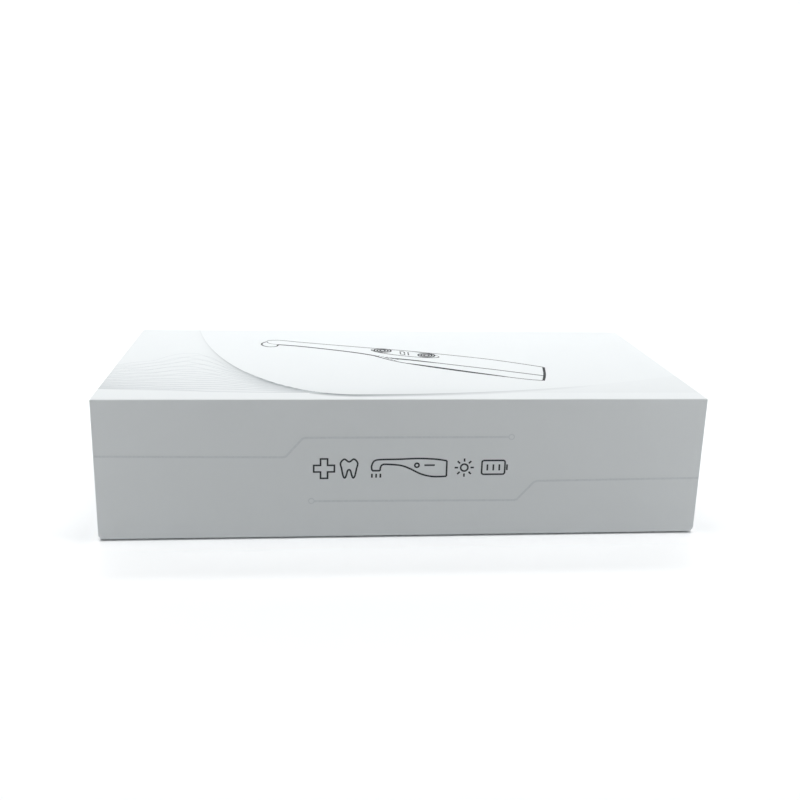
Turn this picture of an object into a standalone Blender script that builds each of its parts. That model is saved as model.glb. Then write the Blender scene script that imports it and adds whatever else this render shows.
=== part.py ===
"""A cordless dental curing light, boxed: a carton with its lid, packing foam, the light, its dock and its shield.

Metres, +Z up.  The origin is the middle of the carton's underside.  +X runs along the carton's long side and
-Y is the printed front.  The light lies in the tray with its head towards -X and its control panel up.
"""

import math

import bmesh
import bpy
from mathutils import Matrix, Vector

MM = 0.001
GAP = 0.3 * MM  # clearance between pieces that touch
CUT_MARGIN = 5 * MM  # how far a cutter runs past the surface it cuts through

# ---------------------------------------------------------------- carton
LID_LENGTH = 280 * MM
LID_DEPTH = 144 * MM
CARTON_HEIGHT = 67.5 * MM
LID_BOARD = 1.8 * MM
LID_RIM_Z = 1.0 * MM  # the lid's lower edge hangs this far above the table
LID_EDGE_ROUND = 0.6 * MM
SLIDE_GAP = 0.5 * MM
BASE_BOARD = 1.6 * MM
BASE_LENGTH = LID_LENGTH - 2 * (LID_BOARD + SLIDE_GAP)
BASE_DEPTH = LID_DEPTH - 2 * (LID_BOARD + SLIDE_GAP)
LID_CEILING = CARTON_HEIGHT - LID_BOARD
BASE_RIM_Z = LID_CEILING - 0.4 * MM  # the base stops just short of the lid's ceiling
PAD_THICKNESS = 6.5 * MM
PAD_MARGIN = 2 * MM  # between the pad's edge and the base's inner wall

# ---------------------------------------------------------------- tray
TRAY_GAP = 0.5 * MM
TRAY_LENGTH = BASE_LENGTH - 2 * (BASE_BOARD + TRAY_GAP)
TRAY_DEPTH = BASE_DEPTH - 2 * (BASE_BOARD + TRAY_GAP)
SHEET_BOTTOM = BASE_BOARD + GAP
SHEET_TOP = 11.7 * MM
TRAY_BOTTOM = SHEET_TOP + GAP
TRAY_TOP = 48 * MM
CAVITY_GAP = 1.0 * MM
HANDLE_CAVITY_GAP = 1.4 * MM
FOAM_GAP = 0.3 * MM  # between what lies in the tray and the foam under it
HANDLE_CAVITY_S = 92 * MM  # the deeper part of the light's cavity starts at this station
NOTCH_S = 160 * MM
NOTCH_HALF_LENGTH = 15 * MM
NOTCH_HALF_WIDTH = 25 * MM
NOTCH_FLOOR = 30 * MM
NOTCH_CORNER = 10 * MM

# ---------------------------------------------------------------- light, in its own frame
# s runs from the head's tip to the rear, y across, z up from the handle's axis.
LIGHT_LENGTH = 204 * MM
LIGHT_REACH = 30 * MM  # more than the light's surface lies from its axis
LIGHT_TIP_X = -112 * MM
LIGHT_Y = 38 * MM
LIGHT_Z = 40 * MM
# (s, half width, top, bottom, squareness) in millimetres, from the neck inside the head to the rear cap
STATIONS = (
    (5, 5.0, 5.3, -2.9, 2.0),
    (14, 5.6, 6.6, -3.4, 2.0),
    (30, 6.2, 8.6, -3.5, 2.0),
    (55, 7.6, 11.2, -3.3, 2.1),
    (76, 9.6, 13.2, -3.9, 2.2),
    (90, 11.5, 14.3, -6.4, 2.3),
    (102, 13.0, 15.0, -10.6, 2.4),
    (116, 14.1, 15.5, -14.0, 2.5),
    (136, 14.7, 15.7, -15.6, 2.5),
    (166, 14.8, 15.3, -15.8, 2.5),
    (204, 14.0, 13.8, -14.6, 2.5),
)
SECTION_POINTS = 28
WALL = 1.6 * MM
PARTING_Z = -5.6 * MM
PARTING_GAP = 0.3 * MM
SPLIT_S = 92 * MM  # the casings part below PARTING_Z behind this station
BELLY_START = 84 * MM
BELLY_HOLLOW_START = 80 * MM
CASING_END = 199.6 * MM
SEAL_START = CASING_END + GAP
SEAL_END = SEAL_START + 0.6 * MM
CAP_START = SEAL_END + GAP
CAP_LIP_START = 195 * MM
CAP_LIP_THICKNESS = 1.4 * MM
CAP_BEVEL = 0.8 * MM

HEAD_RADIUS = 7.2 * MM
HEAD_S = HEAD_RADIUS
HEAD_TOP = 5.9 * MM
HEAD_DOME_HEIGHT = 6.9 * MM
HEAD_BOTTOM = -10.4 * MM
HEAD_BORE = 5.7 * MM
HEAD_BORE_TOP = 2.2 * MM
RING_HEIGHT = 1.2 * MM
RING_BORE = 4.5 * MM
RING_CHAMFER = 0.5 * MM
RING_BORE_CHAMFER = 0.3 * MM
SEAL_THICKNESS = 0.4 * MM
SEAL_WIDTH = 0.7 * MM
LENS_RADIUS = HEAD_BORE - GAP
LENS_THICKNESS = 2.2 * MM
LENS_CROWN = 0.6 * MM
REFLECTOR_EDGE = 0.3 * MM  # its wall's thickness at the wide end
REFLECTOR_NECK = 2.4 * MM  # its wall's thickness at the LED
LED_BOARD_TOP = -0.3 * MM
LED_BOARD_THICKNESS = 1.2 * MM
LED_HALF = 1.8 * MM
LED_HEIGHT = 1.2 * MM
BAR_HALF_WIDTH = 2.0 * MM
BAR_THICKNESS = 1.5 * MM
BAR_START = HEAD_S - 3.2 * MM
BAR_END = 76 * MM
SMALL_BEVEL = 0.2 * MM
LEAD_RADIUS = 0.45 * MM
# (s, y, z) in millimetres along the +Y lead, from the LED board over the heat bar to the main board
LEAD_ROUTE = (
    (8.8, 3.0, 0.2),
    (8.9, 2.95, 1.1),
    (9.7, 2.5, 2.0),
    (12, 1.7, 2.5),
    (22, 1.3, 2.9),
    (40, 1.3, 3.2),
    (60, 1.3, 4.6),
    (72, 1.3, 6.2),
    (79, 1.3, 6.8),
    (83, 1.3, 6.4),
)

PANEL_S = 104.5 * MM
PANEL_HALF_LENGTH = 26 * MM
PANEL_HALF_WIDTH = 7.0 * MM
PANEL_DEPTH = 0.9 * MM
PANEL_THICKNESS = 0.6 * MM
PANEL_SQUARENESS = 2.2
BUTTON_HALF_LENGTH = 4.8 * MM
BUTTON_HALF_WIDTH = 4.0 * MM
BUTTON_FLANGE = 0.7 * MM
FLANGE_THICKNESS = 0.8 * MM
STEM_RADIUS = 1.2 * MM
BUTTON_TRAVEL = 0.4 * MM
BUTTON_PROUD = 0.5 * MM
BUTTON_BEVEL_WIDTH = 0.5 * MM
BUTTON_BEVEL_HEIGHT = 0.4 * MM
POWER_S = 89.5 * MM
MODE_S = 119.5 * MM
DISPLAY_S = 104 * MM
WINDOW_HALF_LENGTH = 7.5 * MM
WINDOW_HALF_WIDTH = 3.6 * MM
DISPLAY_HALF_LENGTH = 6.6 * MM
DISPLAY_HALF_WIDTH = 3.2 * MM

BOARD_START = 79 * MM
BOARD_END = 128 * MM
BOARD_Z = 4.2 * MM
BOARD_THICKNESS = 1.2 * MM
BOARD_TOP = BOARD_Z + BOARD_THICKNESS
BOARD_FRONT_HALF_WIDTH = 5.6 * MM
BOARD_REAR_HALF_WIDTH = 8.6 * MM
BOARD_TAPER_END = 92 * MM
SWITCH_HALF = 3.0 * MM
SWITCH_HEIGHT = 2.9 * MM
SWITCH_TOP = BOARD_TOP + GAP + SWITCH_HEIGHT
PLUNGER_RADIUS = 1.6 * MM
PLUNGER_HEIGHT = 1.2 * MM
BUZZER_S = 125.2 * MM
BUZZER_RADIUS = 2.4 * MM
BUZZER_HEIGHT = 2.4 * MM
CHASSIS_TOP = BOARD_Z - GAP
CHASSIS_THICKNESS = 1.6 * MM
POST_STATIONS = (107 * MM, 123 * MM)
POST_RADIUS = 2.4 * MM
BOSS_RADIUS = 3.6 * MM
BOSS_HEIGHT = 2.6 * MM  # above the lower casing's underside
SCREW_SINK = 1.5 * MM
SCREW_RADIUS = 1.0 * MM
SCREW_LENGTH = 6.4 * MM  # inside the post
SCREW_POINT = 0.8 * MM
SCREW_HEAD_RADIUS = 2.0 * MM
SCREW_HEAD_HEIGHT = 0.8 * MM
SLOT_HALF_LENGTH = 1.3 * MM
SLOT_HALF_WIDTH = 0.25 * MM
SLOT_DEPTH = 0.4 * MM

CELL_RADIUS = 9.1 * MM
CELL_START = 138 * MM
CELL_END = 188 * MM
CELL_Z = -1.6 * MM
CELL_EDGE = 0.5 * MM
CELL_SHOULDER = 1.5 * MM  # the wrap ends this far before the button on the cell's end
CELL_BUTTON_RADIUS = 2.8 * MM
SPRING_START = 131.6 * MM
SPRING_TURNS = 3.5
SPRING_WIRE = 0.35 * MM
SPRING_WIDE = 5.4 * MM
SPRING_NARROW = 2.8 * MM
CELL_FRAMES = (("front_cell_frame", 129.6 * MM), ("rear_cell_frame", 189.7 * MM))
CELL_FRAME_RADIUS = 10 * MM
CELL_FRAME_THICKNESS = 1.7 * MM
CONTACT_RADIUS = 5 * MM
CONTACT_THICKNESS = 0.8 * MM

PIN_RADIUS = 1.4 * MM
PIN_Y = 6 * MM
PIN_START = 197.4 * MM
PIN_PROUD = 0.4 * MM
PIN_SHOULDER = 0.9 * MM

# ---------------------------------------------------------------- charging dock, in its own frame
DOCK_X = 88 * MM
DOCK_Y = -26 * MM
DOCK_Z = SHEET_TOP + GAP
DOCK_RADIUS = 32 * MM
DOCK_HEIGHT = 34 * MM
DOCK_WALL = 2 * MM
SOCKET_DEPTH = 20 * MM
SOCKET_CLEARANCE = 0.6 * MM
DOCK_FLOOR_THICKNESS = 2 * MM
DOCK_FOOT_HEIGHT = 1.2 * MM
DOCK_FOOT_WIDTH = 4 * MM
DOCK_FOOT_MARGIN = 2 * MM
DOCK_SEGMENTS = 40
DOCK_BOARD_HALF_LENGTH = 20 * MM
DOCK_BOARD_HALF_WIDTH = 16 * MM
DOCK_BOARD_CORNER = 2 * MM
DOCK_BOARD_THICKNESS = 1.4 * MM
DOCK_BOARD_LIFT = 1.2 * MM  # above the dock's floor plate
DOCK_PIN_PROUD = 1.8 * MM
INLET_HALF_WIDTH = 4.5 * MM
INLET_HALF_HEIGHT = 1.6 * MM
INLET_CORNER = 1.5 * MM
INLET_WALL = 0.6 * MM
INLET_START = 21.5 * MM
INLET_FLOOR = 2.5 * MM
LAMP_RADIUS = 1.4 * MM
LAMP_DROP = 9 * MM  # below the dock's top
LAMP_SINK = 2.4 * MM  # from the dock's side to the lamp's seat
LAMP_LENGTH = 1.9 * MM

# ---------------------------------------------------------------- shield
SHIELD_X = -88 * MM
SHIELD_Y = -26 * MM
SHIELD_HALF_LENGTH = 31 * MM
SHIELD_HALF_WIDTH = 25 * MM
SHIELD_THICKNESS = 2 * MM
SHIELD_Z = 43 * MM
COLLAR_RADIUS = 10.2 * MM
COLLAR_BORE = HEAD_RADIUS + 0.3 * MM
COLLAR_NECK = 0.9 * MM
COLLAR_HEIGHT = 6 * MM
COLLAR_LIP = 0.5 * MM  # how far the collar stands above the plate

# recess for the mains adapter, between the shield and the dock
RECESS_X = 0 * MM
RECESS_Y = -26 * MM
RECESS_HALF_LENGTH = 36 * MM
RECESS_HALF_DEPTH = 30 * MM
RECESS_CORNER = 6 * MM

ROUND_SEGMENTS = 32
SMALL_SEGMENTS = 16
SMOOTH_ANGLE = math.radians(35)


# ================================================================ scene and materials
def clear_scene():
    for obj in list(bpy.data.objects):
        bpy.data.objects.remove(obj)


def material(name, colour, roughness, metallic=0.0, alpha=1.0):
    mat = bpy.data.materials.new(name)
    mat.use_nodes = True
    shader = mat.node_tree.nodes["Principled BSDF"]
    shader.inputs["Base Color"].default_value = (*colour, 1.0)
    shader.inputs["Roughness"].default_value = roughness
    shader.inputs["Metallic"].default_value = metallic
    shader.inputs["Alpha"].default_value = alpha
    return mat


def empty(name, location):
    frame = bpy.data.objects.new(name, None)
    frame.location = location
    bpy.context.scene.collection.objects.link(frame)
    return frame


def solid(name, bm, mat=None, parent=None, location=(0, 0, 0)):
    """An object from a bmesh, its faces pointing out and its round faces smooth."""
    bmesh.ops.recalc_face_normals(bm, faces=bm.faces)
    mesh = bpy.data.meshes.new(name)
    bm.to_mesh(mesh)
    bm.free()
    mesh.shade_smooth()
    mesh.set_sharp_from_angle(angle=SMOOTH_ANGLE)
    obj = bpy.data.objects.new(name, mesh)
    obj.location = location
    obj.parent = parent
    if mat:
        mesh.materials.append(mat)
    bpy.context.scene.collection.objects.link(obj)
    return obj


def helper(name, bm, parent=None, location=(0, 0, 0)):
    """A cutter or an added lump, which isn't a piece itself."""
    obj = solid(name, bm, None, parent, location)
    obj.hide_render = True
    obj.display_type = "WIRE"
    return obj


def combine(obj, other, operation):
    modifier = obj.modifiers.new(other.name, "BOOLEAN")
    modifier.operation = operation
    modifier.object = other
    modifier.solver = "EXACT"
    return obj


def cut(obj, *cutters):
    for cutter in cutters:
        combine(obj, cutter, "DIFFERENCE")
    return obj


def join(obj, *lumps):
    for lump in lumps:
        combine(obj, lump, "UNION")
    return obj


def keep_inside(obj, other):
    return combine(obj, other, "INTERSECT")


# ================================================================ shape helpers
def loft(rings):
    """A closed solid through rings of equally many points, with flat ends."""
    bm = bmesh.new()
    rows = [[bm.verts.new(p) for p in ring] for ring in rings]
    count = len(rows[0])
    for low, high in zip(rows, rows[1:]):
        for i in range(count):
            j = (i + 1) % count
            bm.faces.new((low[i], low[j], high[j], high[i]))
    bm.faces.new(rows[0])
    bm.faces.new(rows[-1])
    return bm


def prism(outline, z_low, z_high):
    """An outline of (x, y) points stood up between two heights."""
    return loft([[(x, y, z) for x, y in outline] for z in (z_low, z_high)])


def box(low, high, bevel=0.0, segments=2):
    centre = [(a + b) / 2 for a, b in zip(low, high)]
    size = [b - a for a, b in zip(low, high)]
    bm = bmesh.new()
    bmesh.ops.create_cube(bm, size=1.0, matrix=Matrix.Translation(centre) @ Matrix.Diagonal((*size, 1.0)))
    if bevel:
        bmesh.ops.bevel(bm, geom=bm.edges, offset=bevel, segments=segments, affect="EDGES", profile=0.5)
    return bm


def turned(profile, segments=ROUND_SEGMENTS):
    """A ring or a disc from a closed profile of (radius, z) points, turned about Z."""
    bm = bmesh.new()
    poles = {z: bm.verts.new((0, 0, z)) for r, z in profile if r == 0}
    verts = []
    for i in range(segments):
        c, s = math.cos(2 * math.pi * i / segments), math.sin(2 * math.pi * i / segments)
        verts.append([bm.verts.new((r * c, r * s, z)) if r else poles[z] for r, z in profile])
    count = len(profile)
    for i in range(segments):
        here, there = verts[i], verts[(i + 1) % segments]
        for k in range(count):
            n = (k + 1) % count
            corners = list(dict.fromkeys((here[k], there[k], there[n], here[n])))
            if len(corners) > 2:
                bm.faces.new(corners)
    return bm


def cylinder(radius, z_low, z_high, segments=ROUND_SEGMENTS):
    return turned([(0, z_low), (radius, z_low), (radius, z_high), (0, z_high)], segments)


def lay_along_x(bm):
    """Turns a shape made about Z so that its axis runs along +X."""
    bmesh.ops.rotate(bm, verts=bm.verts, matrix=Matrix.Rotation(math.pi / 2, 3, "Y"))
    return bm


def oval(half_length, half_width, count, power=2.0):
    """Points of an ellipse or, with a higher power, of a squarer oval."""
    points = []
    for i in range(count):
        c, s = math.cos(2 * math.pi * i / count), math.sin(2 * math.pi * i / count)
        x = math.copysign(abs(c) ** (2 / power), c) * half_length
        y = math.copysign(abs(s) ** (2 / power), s) * half_width
        points.append((x, y))
    return points


def rounded_rectangle(half_x, half_y, radius, corner_points=6):
    points = []
    for quarter, (sx, sy) in enumerate(((1, 1), (-1, 1), (-1, -1), (1, -1))):
        for k in range(corner_points):
            angle = math.pi / 2 * (quarter + k / (corner_points - 1))
            x = sx * (half_x - radius) + radius * math.cos(angle)
            y = sy * (half_y - radius) + radius * math.sin(angle)
            points.append((x, y))
    return points


def moved(outline, dx, dy):
    return [(x + dx, y + dy) for x, y in outline]


def smooth_route(points, steps):
    """More points along a smooth curve through the given ones."""
    route = []
    for i in range(len(points) - 1):
        before, a, b = points[max(i - 1, 0)], points[i], points[i + 1]
        after = points[min(i + 2, len(points) - 1)]
        slope_a, slope_b = (b - before) / 2, (after - a) / 2
        for k in range(steps):
            t = k / steps
            route.append(
                (2 * t**3 - 3 * t**2 + 1) * a
                + (t**3 - 2 * t**2 + t) * slope_a
                + (3 * t**2 - 2 * t**3) * b
                + (t**3 - t**2) * slope_b
            )
    return route + [points[-1]]


def tube(points, radius, sides=8):
    """A round rod along a smooth line of points, with flat ends."""
    rings = []
    side = Vector((0, 1, 0))
    for i, point in enumerate(points):
        here = Vector(point)
        ahead = Vector(points[min(i + 1, len(points) - 1)])
        behind = Vector(points[max(i - 1, 0)])
        along = (ahead - behind).normalized()
        side = (side - side.dot(along) * along).normalized()
        up = along.cross(side)
        ring = []
        for k in range(sides):
            angle = 2 * math.pi * k / sides
            ring.append(here + radius * (math.cos(angle) * side + math.sin(angle) * up))
        rings.append(ring)
    return loft(rings)


# ================================================================ the light's body surface
def body_at(s):
    """(half width, top, bottom, squareness) of the light at s, on a smooth curve through STATIONS."""
    s_mm = s / MM
    last = len(STATIONS) - 1
    i = max(k for k in range(last) if STATIONS[k][0] <= s_mm or k == 0)
    before, a, b, after = (STATIONS[min(max(k, 0), last)] for k in (i - 1, i, i + 1, i + 2))
    span = b[0] - a[0]
    t = (s_mm - a[0]) / span
    values = []
    for k in range(1, 5):
        slope_a = (b[k] - before[k]) / (b[0] - before[0]) * span
        slope_b = (after[k] - a[k]) / (after[0] - a[0]) * span
        value = (
            (2 * t**3 - 3 * t**2 + 1) * a[k]
            + (t**3 - 2 * t**2 + t) * slope_a
            + (3 * t**2 - 2 * t**3) * b[k]
            + (t**3 - t**2) * slope_b
        )
        values.append(value)
    half_width, top, bottom, power = values
    return half_width * MM, top * MM, bottom * MM, power


def section(s, inset=0.0, at=None):
    """The light's outline at s, pulled in by inset, as points at station `at` (s itself by default)."""
    half_width, top, bottom, power = body_at(s)
    middle, half_height = (top + bottom) / 2, (top - bottom) / 2
    outline = oval(half_width - inset, half_height - inset, SECTION_POINTS, power)
    return [(s if at is None else at, y, middle + z) for y, z in outline]


def top_z(s, y, inset=0.0):
    """Height of the light's upper surface, or of the ceiling inside it when inset by the wall."""
    half_width, top, bottom, power = body_at(s)
    middle, half_height = (top + bottom) / 2, (top - bottom) / 2 - inset
    return middle + half_height * max(0.0, 1 - abs(y / (half_width - inset)) ** power) ** (1 / power)


def body_loft(start, end, inset=0.0, step=8 * MM):
    """The light's solid shape between two stations, pulled in by inset."""
    count = max(1, round((end - start) / step))
    return loft([section(start + (end - start) * i / count, inset) for i in range(count + 1)])


def surface_patch(outline, low_offset, high_offset, rings=2):
    """A thin solid over an outline of (s, y) points, both faces following the light's top surface."""
    bm = bmesh.new()
    centre_s = sum(p[0] for p in outline) / len(outline)
    sheets = []
    for offset in (low_offset, high_offset):
        middle = bm.verts.new((centre_s, 0, top_z(centre_s, 0) + offset))
        rows = [[middle] * len(outline)]
        for k in range(1, rings + 1):
            row = []
            for s, y in outline:
                here_s, here_y = centre_s + (s - centre_s) * k / rings, y * k / rings
                row.append(bm.verts.new((here_s, here_y, top_z(here_s, here_y) + offset)))
            rows.append(row)
        sheets.append(rows)
    count = len(outline)
    for rows in sheets:
        for inner, outer in zip(rows, rows[1:]):
            for i in range(count):
                j = (i + 1) % count
                bm.faces.new(list(dict.fromkeys((inner[i], outer[i], outer[j], inner[j]))))
    lower, upper = sheets[0][-1], sheets[1][-1]
    for i in range(count):
        j = (i + 1) % count
        bm.faces.new((lower[i], lower[j], upper[j], upper[i]))
    return bm


# ================================================================ carton
def make_carton(board, foam):
    lid = solid(
        "carton_lid",
        box(
            (-LID_LENGTH / 2, -LID_DEPTH / 2, LID_RIM_Z),
            (LID_LENGTH / 2, LID_DEPTH / 2, CARTON_HEIGHT),
            LID_EDGE_ROUND,
        ),
        board,
    )
    inner_x, inner_y = LID_LENGTH / 2 - LID_BOARD, LID_DEPTH / 2 - LID_BOARD
    cut(lid, helper("lid_hollow", box((-inner_x, -inner_y, -LID_BOARD), (inner_x, inner_y, LID_CEILING))))

    half_x, half_y = BASE_LENGTH / 2, BASE_DEPTH / 2
    base = solid("carton_base", box((-half_x, -half_y, 0), (half_x, half_y, BASE_RIM_Z)), board)
    inner_x, inner_y = half_x - BASE_BOARD, half_y - BASE_BOARD
    cut(base, helper("base_hollow", box((-inner_x, -inner_y, BASE_BOARD), (inner_x, inner_y, CARTON_HEIGHT))))

    pad_x, pad_y = inner_x - PAD_MARGIN, inner_y - PAD_MARGIN
    pad_top = LID_CEILING - GAP
    solid("lid_pad", box((-pad_x, -pad_y, pad_top - PAD_THICKNESS), (pad_x, pad_y, pad_top)), foam)


def light_cavity_outline(margin):
    """The light's plan shape in the carton, with a margin all round and a round nose."""
    near, far = [], []
    start, end, steps = 2 * HEAD_RADIUS, LIGHT_LENGTH, 12
    for i in range(steps + 1):
        s = start + (end - start) * i / steps
        half_width = body_at(s)[0] + margin
        reach = s + (margin if i == steps else 0)
        near.append((LIGHT_TIP_X + reach, LIGHT_Y - half_width))
        far.append((LIGHT_TIP_X + reach, LIGHT_Y + half_width))
    nose = []
    radius, points = HEAD_RADIUS + margin, 11
    nose_start, nose_sweep = math.radians(52), math.radians(256)
    for k in range(points):
        angle = nose_start + nose_sweep * k / (points - 1)
        nose.append((LIGHT_TIP_X + HEAD_S + radius * math.cos(angle), LIGHT_Y + radius * math.sin(angle)))
    return near + far[::-1] + nose


def make_foam(foam):
    low, high = (-TRAY_LENGTH / 2, -TRAY_DEPTH / 2), (TRAY_LENGTH / 2, TRAY_DEPTH / 2)
    solid("foam_sheet", box((*low, SHEET_BOTTOM), (*high, SHEET_TOP)), foam)
    tray = solid("foam_tray", box((*low, TRAY_BOTTOM), (*high, TRAY_TOP)), foam)
    below, above = SHEET_BOTTOM, TRAY_TOP + CUT_MARGIN
    neck_floor = LIGHT_Z + HEAD_BOTTOM - GAP - RING_HEIGHT - FOAM_GAP
    handle_floor = LIGHT_Z + min(bottom for _, _, _, bottom, _ in STATIONS) * MM - FOAM_GAP
    cut(tray, helper("light_cavity", prism(light_cavity_outline(CAVITY_GAP), neck_floor, above)))
    handle = helper("handle_cavity", prism(light_cavity_outline(HANDLE_CAVITY_GAP), handle_floor, above))
    handle_start = LIGHT_TIP_X + HANDLE_CAVITY_S
    region = box((handle_start, 0, 0), (LID_LENGTH, LID_DEPTH, LID_DEPTH))
    keep_inside(handle, helper("handle_region", region))
    cut(tray, handle)
    notch = rounded_rectangle(NOTCH_HALF_LENGTH, NOTCH_HALF_WIDTH, NOTCH_CORNER, 5)
    notch = moved(notch, LIGHT_TIP_X + NOTCH_S, LIGHT_Y)
    cut(tray, helper("finger_notch", prism(notch, NOTCH_FLOOR, above)))
    dock_hole = cylinder(DOCK_RADIUS + CAVITY_GAP, below, above, ROUND_SEGMENTS)
    cut(tray, helper("dock_cavity", dock_hole, None, (DOCK_X, DOCK_Y, 0)))
    shield_hole = oval(SHIELD_HALF_LENGTH + CAVITY_GAP, SHIELD_HALF_WIDTH + CAVITY_GAP, ROUND_SEGMENTS)
    cut(tray, helper("shield_cavity", prism(moved(shield_hole, SHIELD_X, SHIELD_Y), SHIELD_Z - GAP, above)))
    collar_floor = SHIELD_Z - COLLAR_HEIGHT - 2 * GAP
    collar_hole = cylinder(COLLAR_RADIUS + CAVITY_GAP, collar_floor, above, SMALL_SEGMENTS)
    cut(tray, helper("collar_cavity", collar_hole, None, (SHIELD_X, SHIELD_Y, 0)))
    recess = rounded_rectangle(RECESS_HALF_LENGTH, RECESS_HALF_DEPTH, RECESS_CORNER, 4)
    cut(tray, helper("adapter_recess", prism(moved(recess, RECESS_X, RECESS_Y), below, above)))


# ================================================================ light: casings
def button_outline(grow=0.0):
    return oval(BUTTON_HALF_LENGTH + grow, BUTTON_HALF_WIDTH + grow, 20)


def panel_outline(grow=0.0):
    outline = oval(PANEL_HALF_LENGTH + grow, PANEL_HALF_WIDTH + grow, 32, PANEL_SQUARENESS)
    return moved(outline, PANEL_S, 0)


def head_profile():
    """Half the head's section: a cylinder under a domed top."""
    dome = []
    for k in range(6):
        angle = math.pi / 2 * k / 5
        dome.append((HEAD_RADIUS * math.cos(angle), HEAD_TOP - HEAD_DOME_HEIGHT * (1 - math.sin(angle))))
    return [(0, HEAD_BOTTOM), (HEAD_RADIUS, HEAD_BOTTOM)] + dome[:-1] + [(0, HEAD_TOP)]


def make_casings(shell, frame):
    upper = solid("upper_casing", body_loft(HEAD_S, CASING_END), shell, frame)
    join(upper, helper("head_lump", turned(head_profile()), frame, (HEAD_S, 0, 0)))
    bore = cylinder(HEAD_BORE, HEAD_BOTTOM - CUT_MARGIN, HEAD_BORE_TOP, 24)
    hollow = helper("body_hollow", body_loft(HEAD_S, LIGHT_LENGTH, WALL), frame)
    cut(upper, hollow, helper("head_bore", bore, frame, (HEAD_S, 0, 0)))

    reach = LIGHT_REACH
    under = box((SPLIT_S, -reach, -reach), (LIGHT_LENGTH + CUT_MARGIN, reach, PARTING_Z + PARTING_GAP / 2))
    cut(upper, helper("below_parting", under, frame))
    cut(upper, helper("panel_recess", surface_patch(panel_outline(GAP), -PANEL_DEPTH, CUT_MARGIN), frame))
    for name, s in (("power", POWER_S), ("mode", MODE_S)):
        hole = prism(moved(button_outline(GAP), s, 0), 0, reach)
        cut(upper, helper(name + "_hole", hole, frame))
    window_low = (DISPLAY_S - WINDOW_HALF_LENGTH, -WINDOW_HALF_WIDTH, 0)
    window_high = (DISPLAY_S + WINDOW_HALF_LENGTH, WINDOW_HALF_WIDTH, reach)
    cut(upper, helper("display_hole", box(window_low, window_high), frame))

    lower = solid("lower_casing", body_loft(BELLY_START, CASING_END), shell, frame)
    keep = box((SPLIT_S + GAP, -reach, -reach), (LIGHT_LENGTH, reach, PARTING_Z - PARTING_GAP / 2))
    hollow = helper("belly_hollow", body_loft(BELLY_HOLLOW_START, LIGHT_LENGTH, WALL), frame)
    cut(lower, hollow)
    keep_inside(lower, helper("belly_region", keep, frame))
    for i, s in enumerate(POST_STATIONS):
        boss = cylinder(BOSS_RADIUS, -reach, boss_top(s), SMALL_SEGMENTS)
        cut(hollow, helper(f"screw_boss_{i}", boss, frame, (s, 0, 0)))
        sink = cylinder(SCREW_HEAD_RADIUS + GAP, -reach, screw_head_z(s) + GAP, SMALL_SEGMENTS)
        through = cylinder(SCREW_RADIUS + GAP, -reach, 0, SMALL_SEGMENTS)
        cut(lower, helper(f"screw_sink_{i}", sink, frame, (s, 0, 0)))
        cut(lower, helper(f"screw_way_{i}", through, frame, (s, 0, 0)))


def boss_top(s):
    """Height of the boss round a casing screw, inside the lower casing."""
    return body_at(s)[2] + BOSS_HEIGHT


def screw_head_z(s):
    """Height of the seat that a casing screw's head pulls against."""
    return body_at(s)[2] + SCREW_SINK


# ================================================================ light: optics in the head
def make_optics(metal, glass, rubber, emitter, frame):
    at = (HEAD_S, 0, 0)
    top = HEAD_BOTTOM - GAP
    low = top - RING_HEIGHT
    ring = [
        (RING_BORE, top),
        (RING_BORE, low + RING_BORE_CHAMFER),
        (RING_BORE + RING_CHAMFER, low),
        (HEAD_RADIUS - RING_CHAMFER, low),
        (HEAD_RADIUS, low + RING_CHAMFER),
        (HEAD_RADIUS, top),
    ]
    solid("lens_ring", turned(ring), metal, frame, at)
    seal_inner = LENS_RADIUS - SEAL_WIDTH
    seal_top = HEAD_BOTTOM + SEAL_THICKNESS
    seal = [
        (seal_inner, HEAD_BOTTOM),
        (LENS_RADIUS, HEAD_BOTTOM),
        (LENS_RADIUS, seal_top),
        (seal_inner, seal_top),
    ]
    solid("lens_seal", turned(seal, 24), rubber, frame, at)
    rim = seal_top + GAP
    lens_top = rim + LENS_THICKNESS
    lens = [
        (0, rim - LENS_CROWN),
        (LENS_RADIUS * 0.45, rim - LENS_CROWN * 0.75),
        (LENS_RADIUS * 0.8, rim),
        (LENS_RADIUS, rim),
        (LENS_RADIUS, lens_top),
        (0, lens_top),
    ]
    solid("lens", turned(lens, 24), glass, frame, at)

    led_board_low = LED_BOARD_TOP - LED_BOARD_THICKNESS
    mirror_low, mirror_high = lens_top + GAP, led_board_low - GAP
    reflector = [
        (LENS_RADIUS - REFLECTOR_EDGE, mirror_low),
        (LENS_RADIUS, mirror_low),
        (LENS_RADIUS, mirror_high),
        (LENS_RADIUS - REFLECTOR_NECK, mirror_high),
    ]
    solid("reflector", turned(reflector, 24), metal, frame, at)
    solid("led_board", cylinder(LENS_RADIUS, led_board_low, LED_BOARD_TOP, 24), metal, frame, at)
    led_top = led_board_low - GAP
    led = box((-LED_HALF, -LED_HALF, led_top - LED_HEIGHT), (LED_HALF, LED_HALF, led_top), SMALL_BEVEL, 1)
    solid("led_emitter", led, emitter, frame, at)
    bar_high = (BAR_END, BAR_HALF_WIDTH, BAR_THICKNESS)
    bar = box((BAR_START, -BAR_HALF_WIDTH, 0), bar_high, SMALL_BEVEL, 1)
    solid("heat_bar", bar, metal, frame)


def make_leads(red, black, frame):
    """The two leads from the LED board, over the heat bar, down to the main board."""
    for name, mat, side in (("led_lead_positive", red, 1), ("led_lead_negative", black, -1)):
        points = smooth_route([Vector((s, side * y, z)) * MM for s, y, z in LEAD_ROUTE], 3)
        solid(name, tube(points, LEAD_RADIUS), mat, frame)


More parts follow.
